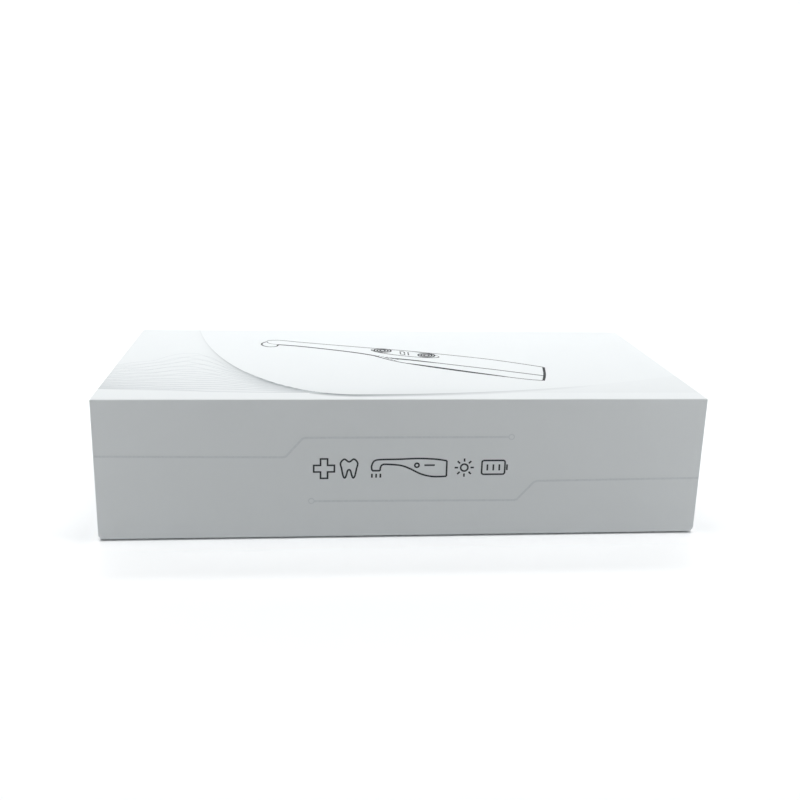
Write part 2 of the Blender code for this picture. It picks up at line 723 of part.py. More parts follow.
# ================================================================ light: controls
def make_controls(dark_panel, shell, metal, plastic, display, frame):
    panel = solid(
        "control_panel",
        surface_patch(panel_outline(), -PANEL_DEPTH + GAP, -PANEL_DEPTH + GAP + PANEL_THICKNESS),
        dark_panel,
        frame,
    )
    for name, s in (("power", POWER_S), ("mode", MODE_S)):
        hole = prism(moved(button_outline(GAP), s, 0), 0, LIGHT_REACH)
        cut(panel, helper(name + "_panel_hole", hole, frame))
        make_button(name, s, shell, frame)
        make_switch(name, s, metal, frame)

    display_low = (DISPLAY_S - DISPLAY_HALF_LENGTH, -DISPLAY_HALF_WIDTH, BOARD_TOP + GAP)
    display_top = top_z(DISPLAY_S, 0) - PANEL_DEPTH - GAP
    display_high = (DISPLAY_S + DISPLAY_HALF_LENGTH, DISPLAY_HALF_WIDTH, display_top)
    solid("display_module", box(display_low, display_high, SMALL_BEVEL, 1), display, frame)
    buzzer_low = BOARD_TOP + GAP
    buzzer = cylinder(BUZZER_RADIUS, buzzer_low, buzzer_low + BUZZER_HEIGHT, SMALL_SEGMENTS)
    solid("buzzer", buzzer, plastic, frame, (BUZZER_S, 0, 0))


def make_button(name, s, shell, frame):
    """A key that stands out of the panel, with a flange under the casing and a stem over its switch."""
    crown = top_z(s, 0) + BUTTON_PROUD
    inside = top_z(s - BUTTON_HALF_LENGTH, BUTTON_HALF_WIDTH + BUTTON_FLANGE, WALL) - GAP
    side = 0.1 * MM  # the wall stands this far inside the key's outline
    overlap = 0.2 * MM
    levels = (
        (side, inside - overlap),
        (side, crown - BUTTON_BEVEL_HEIGHT),
        (side + BUTTON_BEVEL_WIDTH, crown),
    )
    cap = loft([[(x, y, z) for x, y in button_outline(-inset)] for inset, z in levels])
    button = solid(name + "_button", cap, shell, frame, (s, 0, 0))
    flange = prism(button_outline(BUTTON_FLANGE), inside - FLANGE_THICKNESS, inside)
    stem_bottom = SWITCH_TOP + BUTTON_TRAVEL + 0.1 * MM
    stem = cylinder(STEM_RADIUS, stem_bottom, inside, 12)
    join(button, helper(name + "_flange", flange, frame, (s, 0, 0)))
    join(button, helper(name + "_stem", stem, frame, (s, 0, 0)))


def make_switch(name, s, metal, frame):
    body_top = SWITCH_TOP - PLUNGER_HEIGHT
    body = box((-SWITCH_HALF, -SWITCH_HALF, BOARD_TOP + GAP), (SWITCH_HALF, SWITCH_HALF, body_top))
    switch = solid(name + "_switch", body, metal, frame, (s, 0, 0))
    plunger = cylinder(PLUNGER_RADIUS, body_top - PLUNGER_HEIGHT / 2, SWITCH_TOP, 12)
    join(switch, helper(name + "_plunger", plunger, frame, (s, 0, 0)))


# ================================================================ light: board, chassis, cell and rear end
def board_outline(shrink=0.0):
    front, rear = BOARD_FRONT_HALF_WIDTH - shrink, BOARD_REAR_HALF_WIDTH - shrink
    taper_end = BOARD_TAPER_END
    start, end = BOARD_START + shrink, BOARD_END - shrink
    return [(start, -front), (taper_end, -rear), (end, -rear), (end, rear), (taper_end, rear), (start, front)]


def make_chassis(board_green, plastic, steel, frame):
    solid("main_board", prism(board_outline(), BOARD_Z, BOARD_TOP), board_green, frame)
    plate_low = CHASSIS_TOP - CHASSIS_THICKNESS
    chassis = solid("chassis", prism(board_outline(0.4 * MM), plate_low, CHASSIS_TOP), plastic, frame)
    for i, s in enumerate(POST_STATIONS):
        post_low = boss_top(s) + GAP
        post = cylinder(POST_RADIUS, post_low, plate_low + CHASSIS_THICKNESS / 3, SMALL_SEGMENTS)
        join(chassis, helper(f"post_{i}", post, frame, (s, 0, 0)))
        screw_end = post_low + SCREW_LENGTH
        bore = cylinder(SCREW_RADIUS + GAP, post_low - CUT_MARGIN, screw_end + 2 * GAP, 12)
        cut(chassis, helper(f"post_bore_{i}", bore, frame, (s, 0, 0)))
        head_low = screw_head_z(s) - SCREW_HEAD_HEIGHT
        screw = [
            (0, head_low),
            (SCREW_HEAD_RADIUS, head_low),
            (SCREW_HEAD_RADIUS, screw_head_z(s)),
            (SCREW_RADIUS, screw_head_z(s)),
            (SCREW_RADIUS, screw_end - SCREW_POINT),
            (SCREW_RADIUS * 0.3, screw_end),
            (0, screw_end),
        ]
        fastener = solid(f"casing_screw_{i + 1}", turned(screw, SMALL_SEGMENTS), steel, frame, (s, 0, 0))
        slot_low = (-SLOT_HALF_LENGTH, -SLOT_HALF_WIDTH, head_low - CUT_MARGIN)
        slot_high = (SLOT_HALF_LENGTH, SLOT_HALF_WIDTH, head_low + SLOT_DEPTH)
        cut(fastener, helper(f"drive_slot_{i}", box(slot_low, slot_high), frame, (s, 0, 0)))


def make_power(wrap, steel, plastic, brass, frame):
    length = CELL_END - CELL_START
    shoulder = length - CELL_SHOULDER
    cell = [
        (0, 0),
        (CELL_RADIUS - CELL_EDGE, 0),
        (CELL_RADIUS, CELL_EDGE),
        (CELL_RADIUS, shoulder - CELL_EDGE),
        (CELL_RADIUS - CELL_EDGE, shoulder),
        (CELL_BUTTON_RADIUS, shoulder),
        (CELL_BUTTON_RADIUS, length),
        (0, length),
    ]
    solid("battery_cell", lay_along_x(turned(cell, 24)), wrap, frame, (CELL_START, 0, CELL_Z))
    solid("battery_spring", tube(spring_route(), SPRING_WIRE, 6), steel, frame)
    for name, start in CELL_FRAMES:
        disc = cylinder(CELL_FRAME_RADIUS, 0, CELL_FRAME_THICKNESS, 24)
        solid(name, lay_along_x(disc), plastic, frame, (start, 0, CELL_Z))
    contact = cylinder(CONTACT_RADIUS, 0, CONTACT_THICKNESS, SMALL_SEGMENTS)
    solid("battery_contact", lay_along_x(contact), brass, frame, (CELL_END + GAP, 0, CELL_Z))


def spring_route():
    """A cone of wire that narrows towards the cell."""
    first, last = SPRING_START + SPRING_WIRE, CELL_START - GAP - SPRING_WIRE
    steps = 42
    route = []
    for i in range(steps + 1):
        t = i / steps
        angle = 2 * math.pi * SPRING_TURNS * t
        radius = SPRING_WIDE + (SPRING_NARROW - SPRING_WIDE) * t
        along = first + (last - first) * t
        route.append((along, radius * math.cos(angle), CELL_Z + radius * math.sin(angle)))
    return route


def rear_loft(inset, start, end):
    """The light's rear outline, pulled in by inset, run between two stations."""
    return loft([section(CASING_END, inset, s) for s in (start, end)])


def make_rear_end(dark, rubber, brass, frame):
    seal_inset = 0.4 * MM
    seal = solid("cap_seal", rear_loft(seal_inset, SEAL_START, SEAL_END), rubber, frame)
    seal_hollow = rear_loft(WALL, SEAL_START - CUT_MARGIN, SEAL_END + CUT_MARGIN)
    cut(seal, helper("seal_hollow", seal_hollow, frame))

    cap_rings = [
        section(CASING_END, 0, CAP_START),
        section(CASING_END, 0, LIGHT_LENGTH - CAP_BEVEL),
        section(CASING_END, CAP_BEVEL, LIGHT_LENGTH),
    ]
    cap = solid("rear_cap", loft(cap_rings), dark, frame)
    lip_inset = WALL + GAP
    overlap = 0.5 * MM
    join(cap, helper("cap_lip", rear_loft(lip_inset, CAP_LIP_START, CAP_START + overlap), frame))
    lip_hollow = rear_loft(lip_inset + CAP_LIP_THICKNESS, CAP_LIP_START - CUT_MARGIN, CAP_START)
    cut(cap, helper("lip_hollow", lip_hollow, frame))

    shoulder_end = CAP_START - PIN_START - GAP
    pin_end = LIGHT_LENGTH + PIN_PROUD - PIN_START
    point = 0.3 * MM
    for name, y in (("left", PIN_Y), ("right", -PIN_Y)):
        hole = lay_along_x(cylinder(PIN_RADIUS + GAP, 0, pin_end + CUT_MARGIN, SMALL_SEGMENTS))
        cut(cap, helper(f"{name}_pin_hole", hole, frame, (PIN_START, y, CELL_Z)))
        pin = [
            (0, 0),
            (PIN_RADIUS + PIN_SHOULDER, 0),
            (PIN_RADIUS + PIN_SHOULDER, shoulder_end),
            (PIN_RADIUS, shoulder_end),
            (PIN_RADIUS, pin_end - point),
            (PIN_RADIUS - point, pin_end),
            (0, pin_end),
        ]
        shape = lay_along_x(turned(pin, SMALL_SEGMENTS))
        solid(f"charge_pin_{name}", shape, brass, frame, (PIN_START, y, CELL_Z))


# ================================================================ charging dock
def socket_outline(grow):
    """The light's rear outline with clearance, upright in the dock."""
    half_width, top, bottom, power = body_at(CASING_END)
    return oval((top - bottom) / 2 + grow, half_width + grow, SECTION_POINTS, power)


def dock_profile(low):
    """Half the dock's outer section, with its upper edge rolled over in three steps."""
    return [
        (0, low),
        (DOCK_RADIUS - 1 * MM, low),
        (DOCK_RADIUS, low + 1 * MM),
        (DOCK_RADIUS, DOCK_HEIGHT - 6 * MM),
        (DOCK_RADIUS - 1.2 * MM, DOCK_HEIGHT - 2.6 * MM),
        (DOCK_RADIUS - 4 * MM, DOCK_HEIGHT - 0.6 * MM),
        (DOCK_RADIUS - 8 * MM, DOCK_HEIGHT),
        (0, DOCK_HEIGHT),
    ]


def make_dock(shell, dark, board_green, brass, rubber, lamp):
    frame = empty("dock_frame", (DOCK_X, DOCK_Y, DOCK_Z))
    low = DOCK_FOOT_HEIGHT + GAP
    body = solid("dock_shell", turned(dock_profile(low), DOCK_SEGMENTS), shell, frame)
    socket_floor = DOCK_HEIGHT - SOCKET_DEPTH
    inner_radius = DOCK_RADIUS - DOCK_WALL
    hollow = cylinder(inner_radius, 0, socket_floor - DOCK_WALL, DOCK_SEGMENTS)
    cut(body, helper("dock_hollow", hollow, frame))
    well = prism(socket_outline(SOCKET_CLEARANCE), socket_floor, DOCK_HEIGHT + CUT_MARGIN)
    cut(body, helper("dock_socket", well, frame))

    plate_radius = inner_radius - GAP
    plate = cylinder(plate_radius, low, low + DOCK_FLOOR_THICKNESS, DOCK_SEGMENTS)
    solid("dock_floor", plate, dark, frame)
    foot_outer = plate_radius - DOCK_FOOT_MARGIN
    foot_inner = foot_outer - DOCK_FOOT_WIDTH
    foot = [(foot_inner, 0), (foot_outer, 0), (foot_outer, DOCK_FOOT_HEIGHT), (foot_inner, DOCK_FOOT_HEIGHT)]
    solid("dock_foot_ring", turned(foot), rubber, frame)

    board_low = low + DOCK_FLOOR_THICKNESS + DOCK_BOARD_LIFT
    board_top = board_low + DOCK_BOARD_THICKNESS
    board = rounded_rectangle(DOCK_BOARD_HALF_LENGTH, DOCK_BOARD_HALF_WIDTH, DOCK_BOARD_CORNER, 3)
    solid("dock_board", prism(board, board_low, board_top), board_green, frame)
    for name, y in (("left", PIN_Y), ("right", -PIN_Y)):
        make_dock_pin(name, y, board_top + GAP, socket_floor, body, brass, frame)
    make_dock_inlet(board_top + GAP + INLET_HALF_HEIGHT + 0.1 * MM, body, dark, frame)
    make_dock_lamp(body, lamp, frame)


def make_dock_pin(name, y, low, socket_floor, body, brass, frame):
    hole = cylinder(PIN_RADIUS + GAP, 0, socket_floor + CUT_MARGIN, SMALL_SEGMENTS)
    cut(body, helper(f"dock_{name}_pin_hole", hole, frame, (0, y, 0)))
    top = socket_floor + DOCK_PIN_PROUD
    point = 0.6 * MM
    pin = [(0, low), (PIN_RADIUS, low), (PIN_RADIUS, top - point), (PIN_RADIUS - point, top), (0, top)]
    solid(f"dock_pin_{name}", turned(pin, SMALL_SEGMENTS), brass, frame, (0, y, 0))


def make_dock_inlet(z, body, dark, frame):
    """The socket for the adapter's plug, at the dock's back."""

    def outline(grow):
        return rounded_rectangle(INLET_HALF_WIDTH + grow, INLET_HALF_HEIGHT + grow, INLET_CORNER + grow, 4)

    port = along_y(outline(0), INLET_START, DOCK_RADIUS - 2 * GAP, z)
    inlet = solid("dock_inlet", port, dark, frame)
    mouth = along_y(outline(-INLET_WALL), INLET_START + INLET_FLOOR, DOCK_RADIUS + CUT_MARGIN, z)
    cut(inlet, helper("inlet_mouth", mouth, frame))
    way = along_y(outline(GAP), INLET_START - CUT_MARGIN, DOCK_RADIUS + CUT_MARGIN, z)
    cut(body, helper("inlet_way", way, frame))


def make_dock_lamp(body, lamp, frame):
    seat = (0, LAMP_SINK - DOCK_RADIUS, DOCK_HEIGHT - LAMP_DROP)
    way = lay_front(cylinder(LAMP_RADIUS + GAP, 0, LAMP_SINK + CUT_MARGIN, SMALL_SEGMENTS))
    cut(body, helper("lamp_way", way, frame, seat))
    shape = lay_front(cylinder(LAMP_RADIUS, GAP, GAP + LAMP_LENGTH, SMALL_SEGMENTS))
    solid("dock_lamp", shape, lamp, frame, seat)


def lay_front(bm):
    """Turns a shape made about Z so that its axis runs along -Y."""
    bmesh.ops.rotate(bm, verts=bm.verts, matrix=Matrix.Rotation(math.pi / 2, 3, "X"))
    return bm


def along_y(outline, start, end, z):
    """An upright outline of (x, z) points, run along +Y at height z."""
    return loft([[(x, y, z + dz) for x, dz in outline] for y in (start, end)])


# ================================================================ shield
def make_shield(orange, rubber):
    frame = empty("shield_frame", (SHIELD_X, SHIELD_Y, SHIELD_Z))
    plate = prism(oval(SHIELD_HALF_LENGTH, SHIELD_HALF_WIDTH, 40), 0, SHIELD_THICKNESS)
    shield = solid("light_shield", plate, orange, frame)
    hole_radius = COLLAR_BORE + COLLAR_NECK + GAP
    hole = cylinder(hole_radius, -CUT_MARGIN, SHIELD_THICKNESS + CUT_MARGIN, 24)
    cut(shield, helper("shield_hole", hole, frame))
    low, top = -COLLAR_HEIGHT, SHIELD_THICKNESS + COLLAR_LIP
    collar = [
        (COLLAR_BORE, low),
        (COLLAR_RADIUS, low),
        (COLLAR_RADIUS, -GAP),
        (COLLAR_BORE + COLLAR_NECK, -GAP),
        (COLLAR_BORE + COLLAR_NECK, top),
        (COLLAR_BORE, top),
    ]
    solid("shield_collar", turned(collar, 24), rubber, frame)


# ================================================================ assembly
def main():
    clear_scene()
    board = material("printed_board", (0.90, 0.93, 0.94), 0.55)
    foam = material("grey_foam", (0.10, 0.11, 0.12), 0.95)
    shell = material("white_shell", (0.90, 0.91, 0.92), 0.30)
    dark = material("dark_plastic", (0.06, 0.065, 0.07), 0.45)
    panel = material("panel_gloss", (0.03, 0.035, 0.04), 0.12)
    metal = material("aluminium", (0.78, 0.79, 0.80), 0.30, 1.0)
    steel = material("steel", (0.62, 0.62, 0.63), 0.30, 1.0)
    brass = material("gilt_brass", (0.85, 0.65, 0.30), 0.25, 1.0)
    glass = material("lens_glass", (0.85, 0.92, 0.98), 0.05, 0.0, 0.4)
    rubber = material("seal_rubber", (0.04, 0.04, 0.045), 0.8)
    green = material("board_green", (0.02, 0.22, 0.10), 0.45)
    cell = material("cell_wrap", (0.05, 0.20, 0.45), 0.35)
    orange = material("shield_orange", (0.95, 0.32, 0.03), 0.12, 0.0, 0.75)
    emitter = material("emitter", (0.90, 0.75, 0.25), 0.3)
    display = material("display", (0.05, 0.05, 0.06), 0.25)
    red = material("lead_red", (0.60, 0.04, 0.03), 0.5)
    lamp = material("lamp", (0.20, 0.75, 0.30), 0.2)

    make_carton(board, foam)
    make_foam(foam)
    frame = empty("light_frame", (LIGHT_TIP_X, LIGHT_Y, LIGHT_Z))
    make_casings(shell, frame)
    make_optics(metal, glass, rubber, emitter, frame)
    make_leads(red, rubber, frame)
    make_controls(panel, shell, steel, dark, display, frame)
    make_chassis(green, dark, steel, frame)
    make_power(cell, steel, dark, brass, frame)
    make_rear_end(dark, rubber, brass, frame)
    make_dock(shell, dark, green, brass, rubber, lamp)
    make_shield(orange, rubber)


main()
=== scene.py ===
"""The looks of a boxed dental curing light: a paper-wrapped carton with line art, packing foam, the light,
its charging dock and its eye shield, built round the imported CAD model.

Metres, in the CAD model's frame: +X along the carton's long side, -Y its printed front, +Z up.
"""

from math import copysign, cos, hypot, pi, radians, sin

import bmesh
import bpy
from mathutils import Matrix, Vector


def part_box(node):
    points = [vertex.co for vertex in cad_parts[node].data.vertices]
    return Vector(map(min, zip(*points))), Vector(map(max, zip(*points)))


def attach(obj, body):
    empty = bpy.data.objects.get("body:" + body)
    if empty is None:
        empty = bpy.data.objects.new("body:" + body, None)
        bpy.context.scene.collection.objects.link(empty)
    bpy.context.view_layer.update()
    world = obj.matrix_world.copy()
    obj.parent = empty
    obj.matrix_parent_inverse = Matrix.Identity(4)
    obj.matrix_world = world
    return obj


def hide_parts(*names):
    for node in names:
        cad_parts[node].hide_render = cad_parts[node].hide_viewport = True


MM = 0.001
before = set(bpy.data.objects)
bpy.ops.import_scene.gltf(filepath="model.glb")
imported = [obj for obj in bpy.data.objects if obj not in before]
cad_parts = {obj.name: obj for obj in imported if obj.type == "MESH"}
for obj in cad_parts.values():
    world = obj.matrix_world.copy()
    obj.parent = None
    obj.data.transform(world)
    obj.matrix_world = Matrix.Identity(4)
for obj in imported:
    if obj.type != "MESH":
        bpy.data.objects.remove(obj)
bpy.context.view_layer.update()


def extent(node):
    """A CAD node's lowest and highest corner, its centre and its half size."""
    low, high = (Vector(corner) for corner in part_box(node))
    return low, high, (low + high) / 2, (high - low) / 2


# -------- carton
LID_LOW, LID_HIGH, *_ = extent("carton_lid")
LID_BOARD = 1.8 * MM
BASE_BOARD = 1.6 * MM
LID_CORNER = 3.2 * MM  # how far the board's corners at the opening are blunted
BASE_CORNER = 1.2 * MM
WRAP_INSET = 0.05 * MM  # the wrap lies this far inside the CAD's faces, which leaves room for the ink
INK_THICKNESS = 0.02 * MM
EDGE_ROUND = 0.55 * MM
TURN_IN = 14 * MM
TURN_IN_THICKNESS = 0.2 * MM
PAPER = (0.785, 0.814, 0.824)

# -------- print on the lid's top
SWEEP_CENTRE = (-22 * MM, 154 * MM)  # the large sweep is the lower part of a lopsided oval
SWEEP_LEFT = 92.3 * MM
SWEEP_RIGHT = 301 * MM
SWEEP_DEPTH = 218.2 * MM
FIELD_LEFT = (-140 * MM, -54.6 * MM)  # the wave field's lower edge runs from here to the sweep's foot
FIELD_RIGHT = (-44 * MM, -61.4 * MM)
FIELD_SAG = 1.3 * MM
DRAWING_TIP = Vector((-71.3 * MM, 37.9 * MM))
DRAWING_ANGLE = radians(-25.2)

# -------- light: the same shape as in the CAD model
# (s, half width, top, bottom, squareness) in millimetres; s runs from the head's tip to the rear
STATIONS = (
    (5, 5.0, 5.3, -2.9, 2.0),
    (14, 5.6, 6.6, -3.4, 2.0),
    (30, 6.2, 8.6, -3.5, 2.0),
    (55, 7.6, 11.2, -3.3, 2.1),
    (76, 9.6, 13.2, -3.9, 2.2),
    (90, 11.5, 14.3, -6.4, 2.3),
    (102, 13.0, 15.0, -10.6, 2.4),
    (116, 14.1, 15.5, -14.0, 2.5),
    (136, 14.7, 15.7, -15.6, 2.5),
    (166, 14.8, 15.3, -15.8, 2.5),
    (204, 14.0, 13.8, -14.6, 2.5),
)
CASING_LOW, CASING_HIGH, CASING_CENTRE, _ = extent("upper_casing")
LIGHT_LENGTH = STATIONS[-1][0] * MM
LIGHT_TOP = max(station[2] for station in STATIONS) * MM
LIGHT_BOTTOM = min(station[3] for station in STATIONS) * MM
LIGHT_TIP = Vector((CASING_LOW.x, CASING_CENTRE.y, CASING_HIGH.z - LIGHT_TOP))
CASING_END = CASING_HIGH.x - LIGHT_TIP.x
HEAD_RADIUS = 7.2 * MM
HEAD_BOTTOM = -10.4 * MM
HEAD_BORE = 5.7 * MM
HEAD_CENTRE = (LIGHT_TIP.x + HEAD_RADIUS, LIGHT_TIP.y)
WALL = 1.6 * MM
SPLIT_S = 92 * MM
PARTING_Z = -5.6 * MM
PARTING_GAP = 0.3 * MM
SCREW_S = (107 * MM, 123 * MM)
PANEL_S = 104.5 * MM
PANEL_HALF_LENGTH = 26 * MM
PANEL_HALF_WIDTH = 7.0 * MM
PANEL_DEPTH = 0.9 * MM
PANEL_TOP = 0.25 * MM  # below the casing's surface
POWER_S = 89.5 * MM
MODE_S = 119.5 * MM
DISPLAY_S = 104 * MM
BUTTON_HALF_LENGTH = 4.8 * MM
BUTTON_HALF_WIDTH = 4.0 * MM
BUTTON_PROUD = 0.5 * MM
BUTTON_DISH = 0.82  # the dish's share of the button's size
DISH_DEPTH = 0.28 * MM
CAP_RISE = 1.2 * MM  # from the casing's end to the cap's shoulder
GAP = 0.3 * MM
CLEAR = 30 * MM  # takes a cut past the light's surface
BODY_STEP = 2.5 * MM
HOLLOW_STEP = 6 * MM
HOLLOW_POINTS = 48
RING_POINTS = 96


def configure(thing, **settings):
    for key, value in settings.items():
        setattr(thing, key, value)


# ======== materials
class Value:
    """A shader node's output. Arithmetic with it makes math nodes."""

    def __init__(self, surface, socket):
        self.surface = surface
        self.socket = socket

    def math(self, operation, other=0.0):
        return self.surface.node("Math", {0: self, 1: other}, operation=operation)

    def __add__(self, other):
        return self.math("ADD", other)

    def __sub__(self, other):
        return self.math("SUBTRACT", other)

    def __mul__(self, other):
        return self.math("MULTIPLY", other)

    def __truediv__(self, other):
        return self.math("DIVIDE", other)

    def most(self, other):
        return self.math("MAXIMUM", other)

    def over(self, limit):
        """1 above the limit and 0 elsewhere."""
        return self.math("GREATER_THAN", limit)

    def decay(self, reach):
        return (self / reach * -1.0).math("EXPONENT")

    def hump(self, middle, spread):
        """A bell curve."""
        t = (self - middle) / spread
        return (t * t).decay(1.0)

    def ramp(self, low, high, to_low=0.0, to_high=1.0, kind="SMOOTHSTEP"):
        inputs = {0: self, 1: low, 2: high, 3: to_low, 4: to_high}
        return self.surface.node("MapRange", inputs, interpolation_type=kind, clamp=True)


class Surface:
    """A material, with short calls for its nodes. The calls that change it return it."""

    def __init__(self, name, colour, roughness=0.5):
        self.material = bpy.data.materials.new(name)
        self.material.use_nodes = True
        self.tree = self.material.node_tree
        self.colour = colour
        self.place = self.node("TexCoord", output="Object")
        self.set("Base Color", colour)
        self.set("Roughness", roughness)

    def feed(self, socket, value):
        """Links a socket to a node's output, or sets it to a constant."""
        if isinstance(value, Value):
            self.tree.links.new(value.socket, socket)
        elif socket.type == "RGBA":
            socket.default_value = (*value, 1.0)
        else:
            socket.default_value = value

    def node(self, kind, inputs=(), output=0, **settings):
        node = self.tree.nodes.new(f"ShaderNode{kind}")
        configure(node, **settings)
        for key, value in dict(inputs).items():
            self.feed(node.inputs[key], value)
        return Value(self, node.outputs[output])

    def axes(self):
        return [self.node("SeparateXYZ", {0: self.place}, output=axis) for axis in range(3)]

    def noise(self, scale, detail=3.0, place=None):
        inputs = {"Vector": place or self.place, "Scale": scale, "Detail": detail}
        return self.node("TexNoise", inputs)

    def mix(self, factor, a, b):
        return self.node("Mix", {0: factor, 6: a, 7: b}, output=2, data_type="RGBA")

    def set(self, socket, value):
        self.feed(self.tree.nodes["Principled BSDF"].inputs[socket], value)
        return self

    def bump(self, height, strength, distance):
        inputs = {"Height": height, "Strength": strength, "Distance": distance}
        return self.set("Normal", self.node("Bump", inputs))

    def grain(self, scale, detail, strength, distance):
        return self.bump(self.noise(scale, detail), strength, distance)

    def roughen(self, low, high, scale):
        """Roughness that varies a little over the surface."""
        return self.set("Roughness", self.noise(scale).ramp(0.3, 0.7, low, high))

    def tint(self, share, scale, lift=0.0):
        """Base colour that drifts to a close one."""
        other = shade(self.colour, share, lift)
        return self.set("Base Color", self.mix(self.noise(scale).ramp(0.35, 0.65), self.colour, other))

    def coat(self, weight, roughness):
        return self.set("Coat Weight", weight).set("Coat Roughness", roughness)


def shade(colour, share, lift=0.0):
    return tuple(channel * share + lift for channel in colour)


def paper(name, colour=PAPER):
    """Coated white paper over grey board."""
    s = Surface(name, colour).set("Specular IOR Level", 0.03)
    return s.tint(0.985, 35).roughen(0.57, 0.67, 120).grain(2600, 4, 0.06, 0.05 * MM)


def sweep_distance(x, y):
    """How far a point of the lid's top is outside the printed sweep."""
    across = x - SWEEP_CENTRE[0]
    left = across.math("MINIMUM", 0.0) / SWEEP_LEFT
    u = across.most(0.0) / SWEEP_RIGHT + left
    v = (y - SWEEP_CENTRE[1]) / SWEEP_DEPTH
    slope_u = left / SWEEP_LEFT
    slope_v = v / SWEEP_DEPTH
    slope = (slope_u * slope_u + slope_v * slope_v).math("SQRT")
    return (u * u + v * v - 1.0) / 2.0 / slope


def field_height(x, y):
    """How far a point is above the wave field's lower edge."""
    along = x.ramp(FIELD_LEFT[0], FIELD_RIGHT[0], kind="LINEAR")
    drop = along * (FIELD_LEFT[1] - FIELD_RIGHT[1])
    sag = (along * pi).math("SINE") * FIELD_SAG
    return y - FIELD_LEFT[1] + drop + sag


def printed_paper():
    """The lid's wrap: white, with the sweep's soft shadow and the wave field's tone printed on top."""
    s = paper("printed_wrap")
    x, y, z = s.axes()
    distance = sweep_distance(x, y)
    outside = distance.most(0.0)
    beyond = outside.over(0.0)
    above = field_height(x, y)
    in_field = above.over(0.0)

    line = x.ramp(-120 * MM, -60 * MM) * x.ramp(75 * MM, 108 * MM, 1.0, 0.0)
    line = line * (x - SWEEP_CENTRE[0]).most(0.0).decay(55 * MM)
    line_reach = x.ramp(-100 * MM, -30 * MM, 1.0 * MM, 4.0 * MM)
    line = line * outside.decay(line_reach) * outside.ramp(2.4 * MM, 5.0 * MM, 1.0, 0.0)
    soft = x.hump(-50 * MM, 36 * MM) * 0.62 * outside.decay(5.5 * MM) * in_field
    corner_tone = (x - LID_LOW.x).decay(17 * MM) * 0.24 + 0.03
    tone = (above.decay(13 * MM) * corner_tone + 0.02) * in_field
    amount = line.most(soft).most(tone) * beyond * in_field.most(x.over(FIELD_RIGHT[0]))

    inside = (distance * -1.0).most(0.0)
    glow = inside.decay(6 * MM) * x.hump(0.0, 42 * MM) * 0.10
    amount = amount.most(glow - glow * beyond) * z.over(LID_HIGH.z - EDGE_ROUND)
    return s.set("Base Color", s.mix(amount, PAPER, (0.20, 0.225, 0.24)))


def ink(name, colour):
    """Printed ink, with its coverage a little uneven."""
    s = Surface(name, colour).set("Specular IOR Level", 0.08)
    return s.tint(1.04, 900, 0.004).roughen(0.5, 0.62, 500)


def packing_foam():
    """Closed-cell grey foam: a skin of fine cells."""
    s = Surface("packing_foam", (0.062, 0.066, 0.071), 0.95).set("Specular IOR Level", 0.2)
    cells = s.node("TexVoronoi", {"Vector": s.place, "Scale": 900})
    s.set("Base Color", s.mix(cells.ramp(0.1, 0.6), shade(s.colour, 0.72), shade(s.colour, 1.3)))
    return s.bump(cells * 0.8 + s.noise(160, 2), 0.5, 0.25 * MM)


def casing_plastic():
    """Glossy white ABS."""
    s = Surface("white_casing", (0.86, 0.87, 0.875)).coat(0.25, 0.08)
    return s.tint(0.985, 40).roughen(0.17, 0.25, 300).grain(1400, 2, 0.03, 0.02 * MM)


def textured_plastic(name, colour, roughness=0.5, scale=2200):
    """Moulded plastic with a fine spark-eroded texture."""
    s = Surface(name, colour).tint(1.18, 500)
    return s.roughen(roughness - 0.06, roughness + 0.06, 700).grain(scale, 3, 0.25, 0.05 * MM)


def panel_film():
    """The control panel's dark printed film."""
    s = Surface("panel_film", (0.018, 0.021, 0.026)).coat(0.6, 0.05)
    return s.tint(1.3, 60).roughen(0.1, 0.17, 250)


def rubber():
    """Matt moulded rubber."""
    s = Surface("black_rubber", (0.022, 0.022, 0.024)).tint(1.25, 220)
    return s.roughen(0.68, 0.85, 300).grain(1800, 3, 0.2, 0.04 * MM)


def metal(name, colour, roughness, stretch=(1, 1, 1)):
    """Metal with fine turned or drawn lines when stretched."""
    s = Surface(name, colour).set("Metallic", 1.0).tint(0.93, 300)
    stretched = s.node("Mapping", {"Vector": s.place, "Scale": stretch})
    lines = s.noise(1500, 2, stretched)
    s.set("Roughness", lines.ramp(0.3, 0.7, roughness * 0.75, roughness * 1.25))
    return s.bump(lines, 0.05, 0.008 * MM)


def clear(name, colour, roughness, transmission, ior=1.49):
    """Glass or clear plastic."""
    s = Surface(name, colour).set("Transmission Weight", transmission).set("IOR", ior)
    return s.roughen(roughness * 0.7, roughness * 1.4 + 0.01, 160)


def circuit_board():
    """Green solder mask with tracks showing through."""
    s = Surface("solder_mask", (0.012, 0.13, 0.055), 0.35)
    tracks = s.node("TexBrick", {"Vector": s.place, "Scale": 260.0}, output="Fac")
    s.set("Base Color", s.mix(tracks * 0.6, s.colour, (0.03, 0.24, 0.10)))
    return s.bump(tracks, 0.2, 0.03 * MM)


def lamp(name, colour, strength):
    """Something that glows in its own colour."""
    s = Surface(name, colour, 0.25).tint(0.85, 700)
    return s.set("Emission Color", colour).set("Emission Strength", strength)


# ======== objects
def new_object(name, data):
    obj = bpy.data.objects.new(name, data)
    bpy.context.scene.collection.objects.link(obj)
    return obj


def solid(name, bm):
    """An object from a bmesh, with its faces turned outwards."""
    bmesh.ops.recalc_face_normals(bm, faces=bm.faces)
    mesh = bpy.data.meshes.new(name)
    bm.to_mesh(mesh)
    bm.free()
    return new_object(name, mesh)


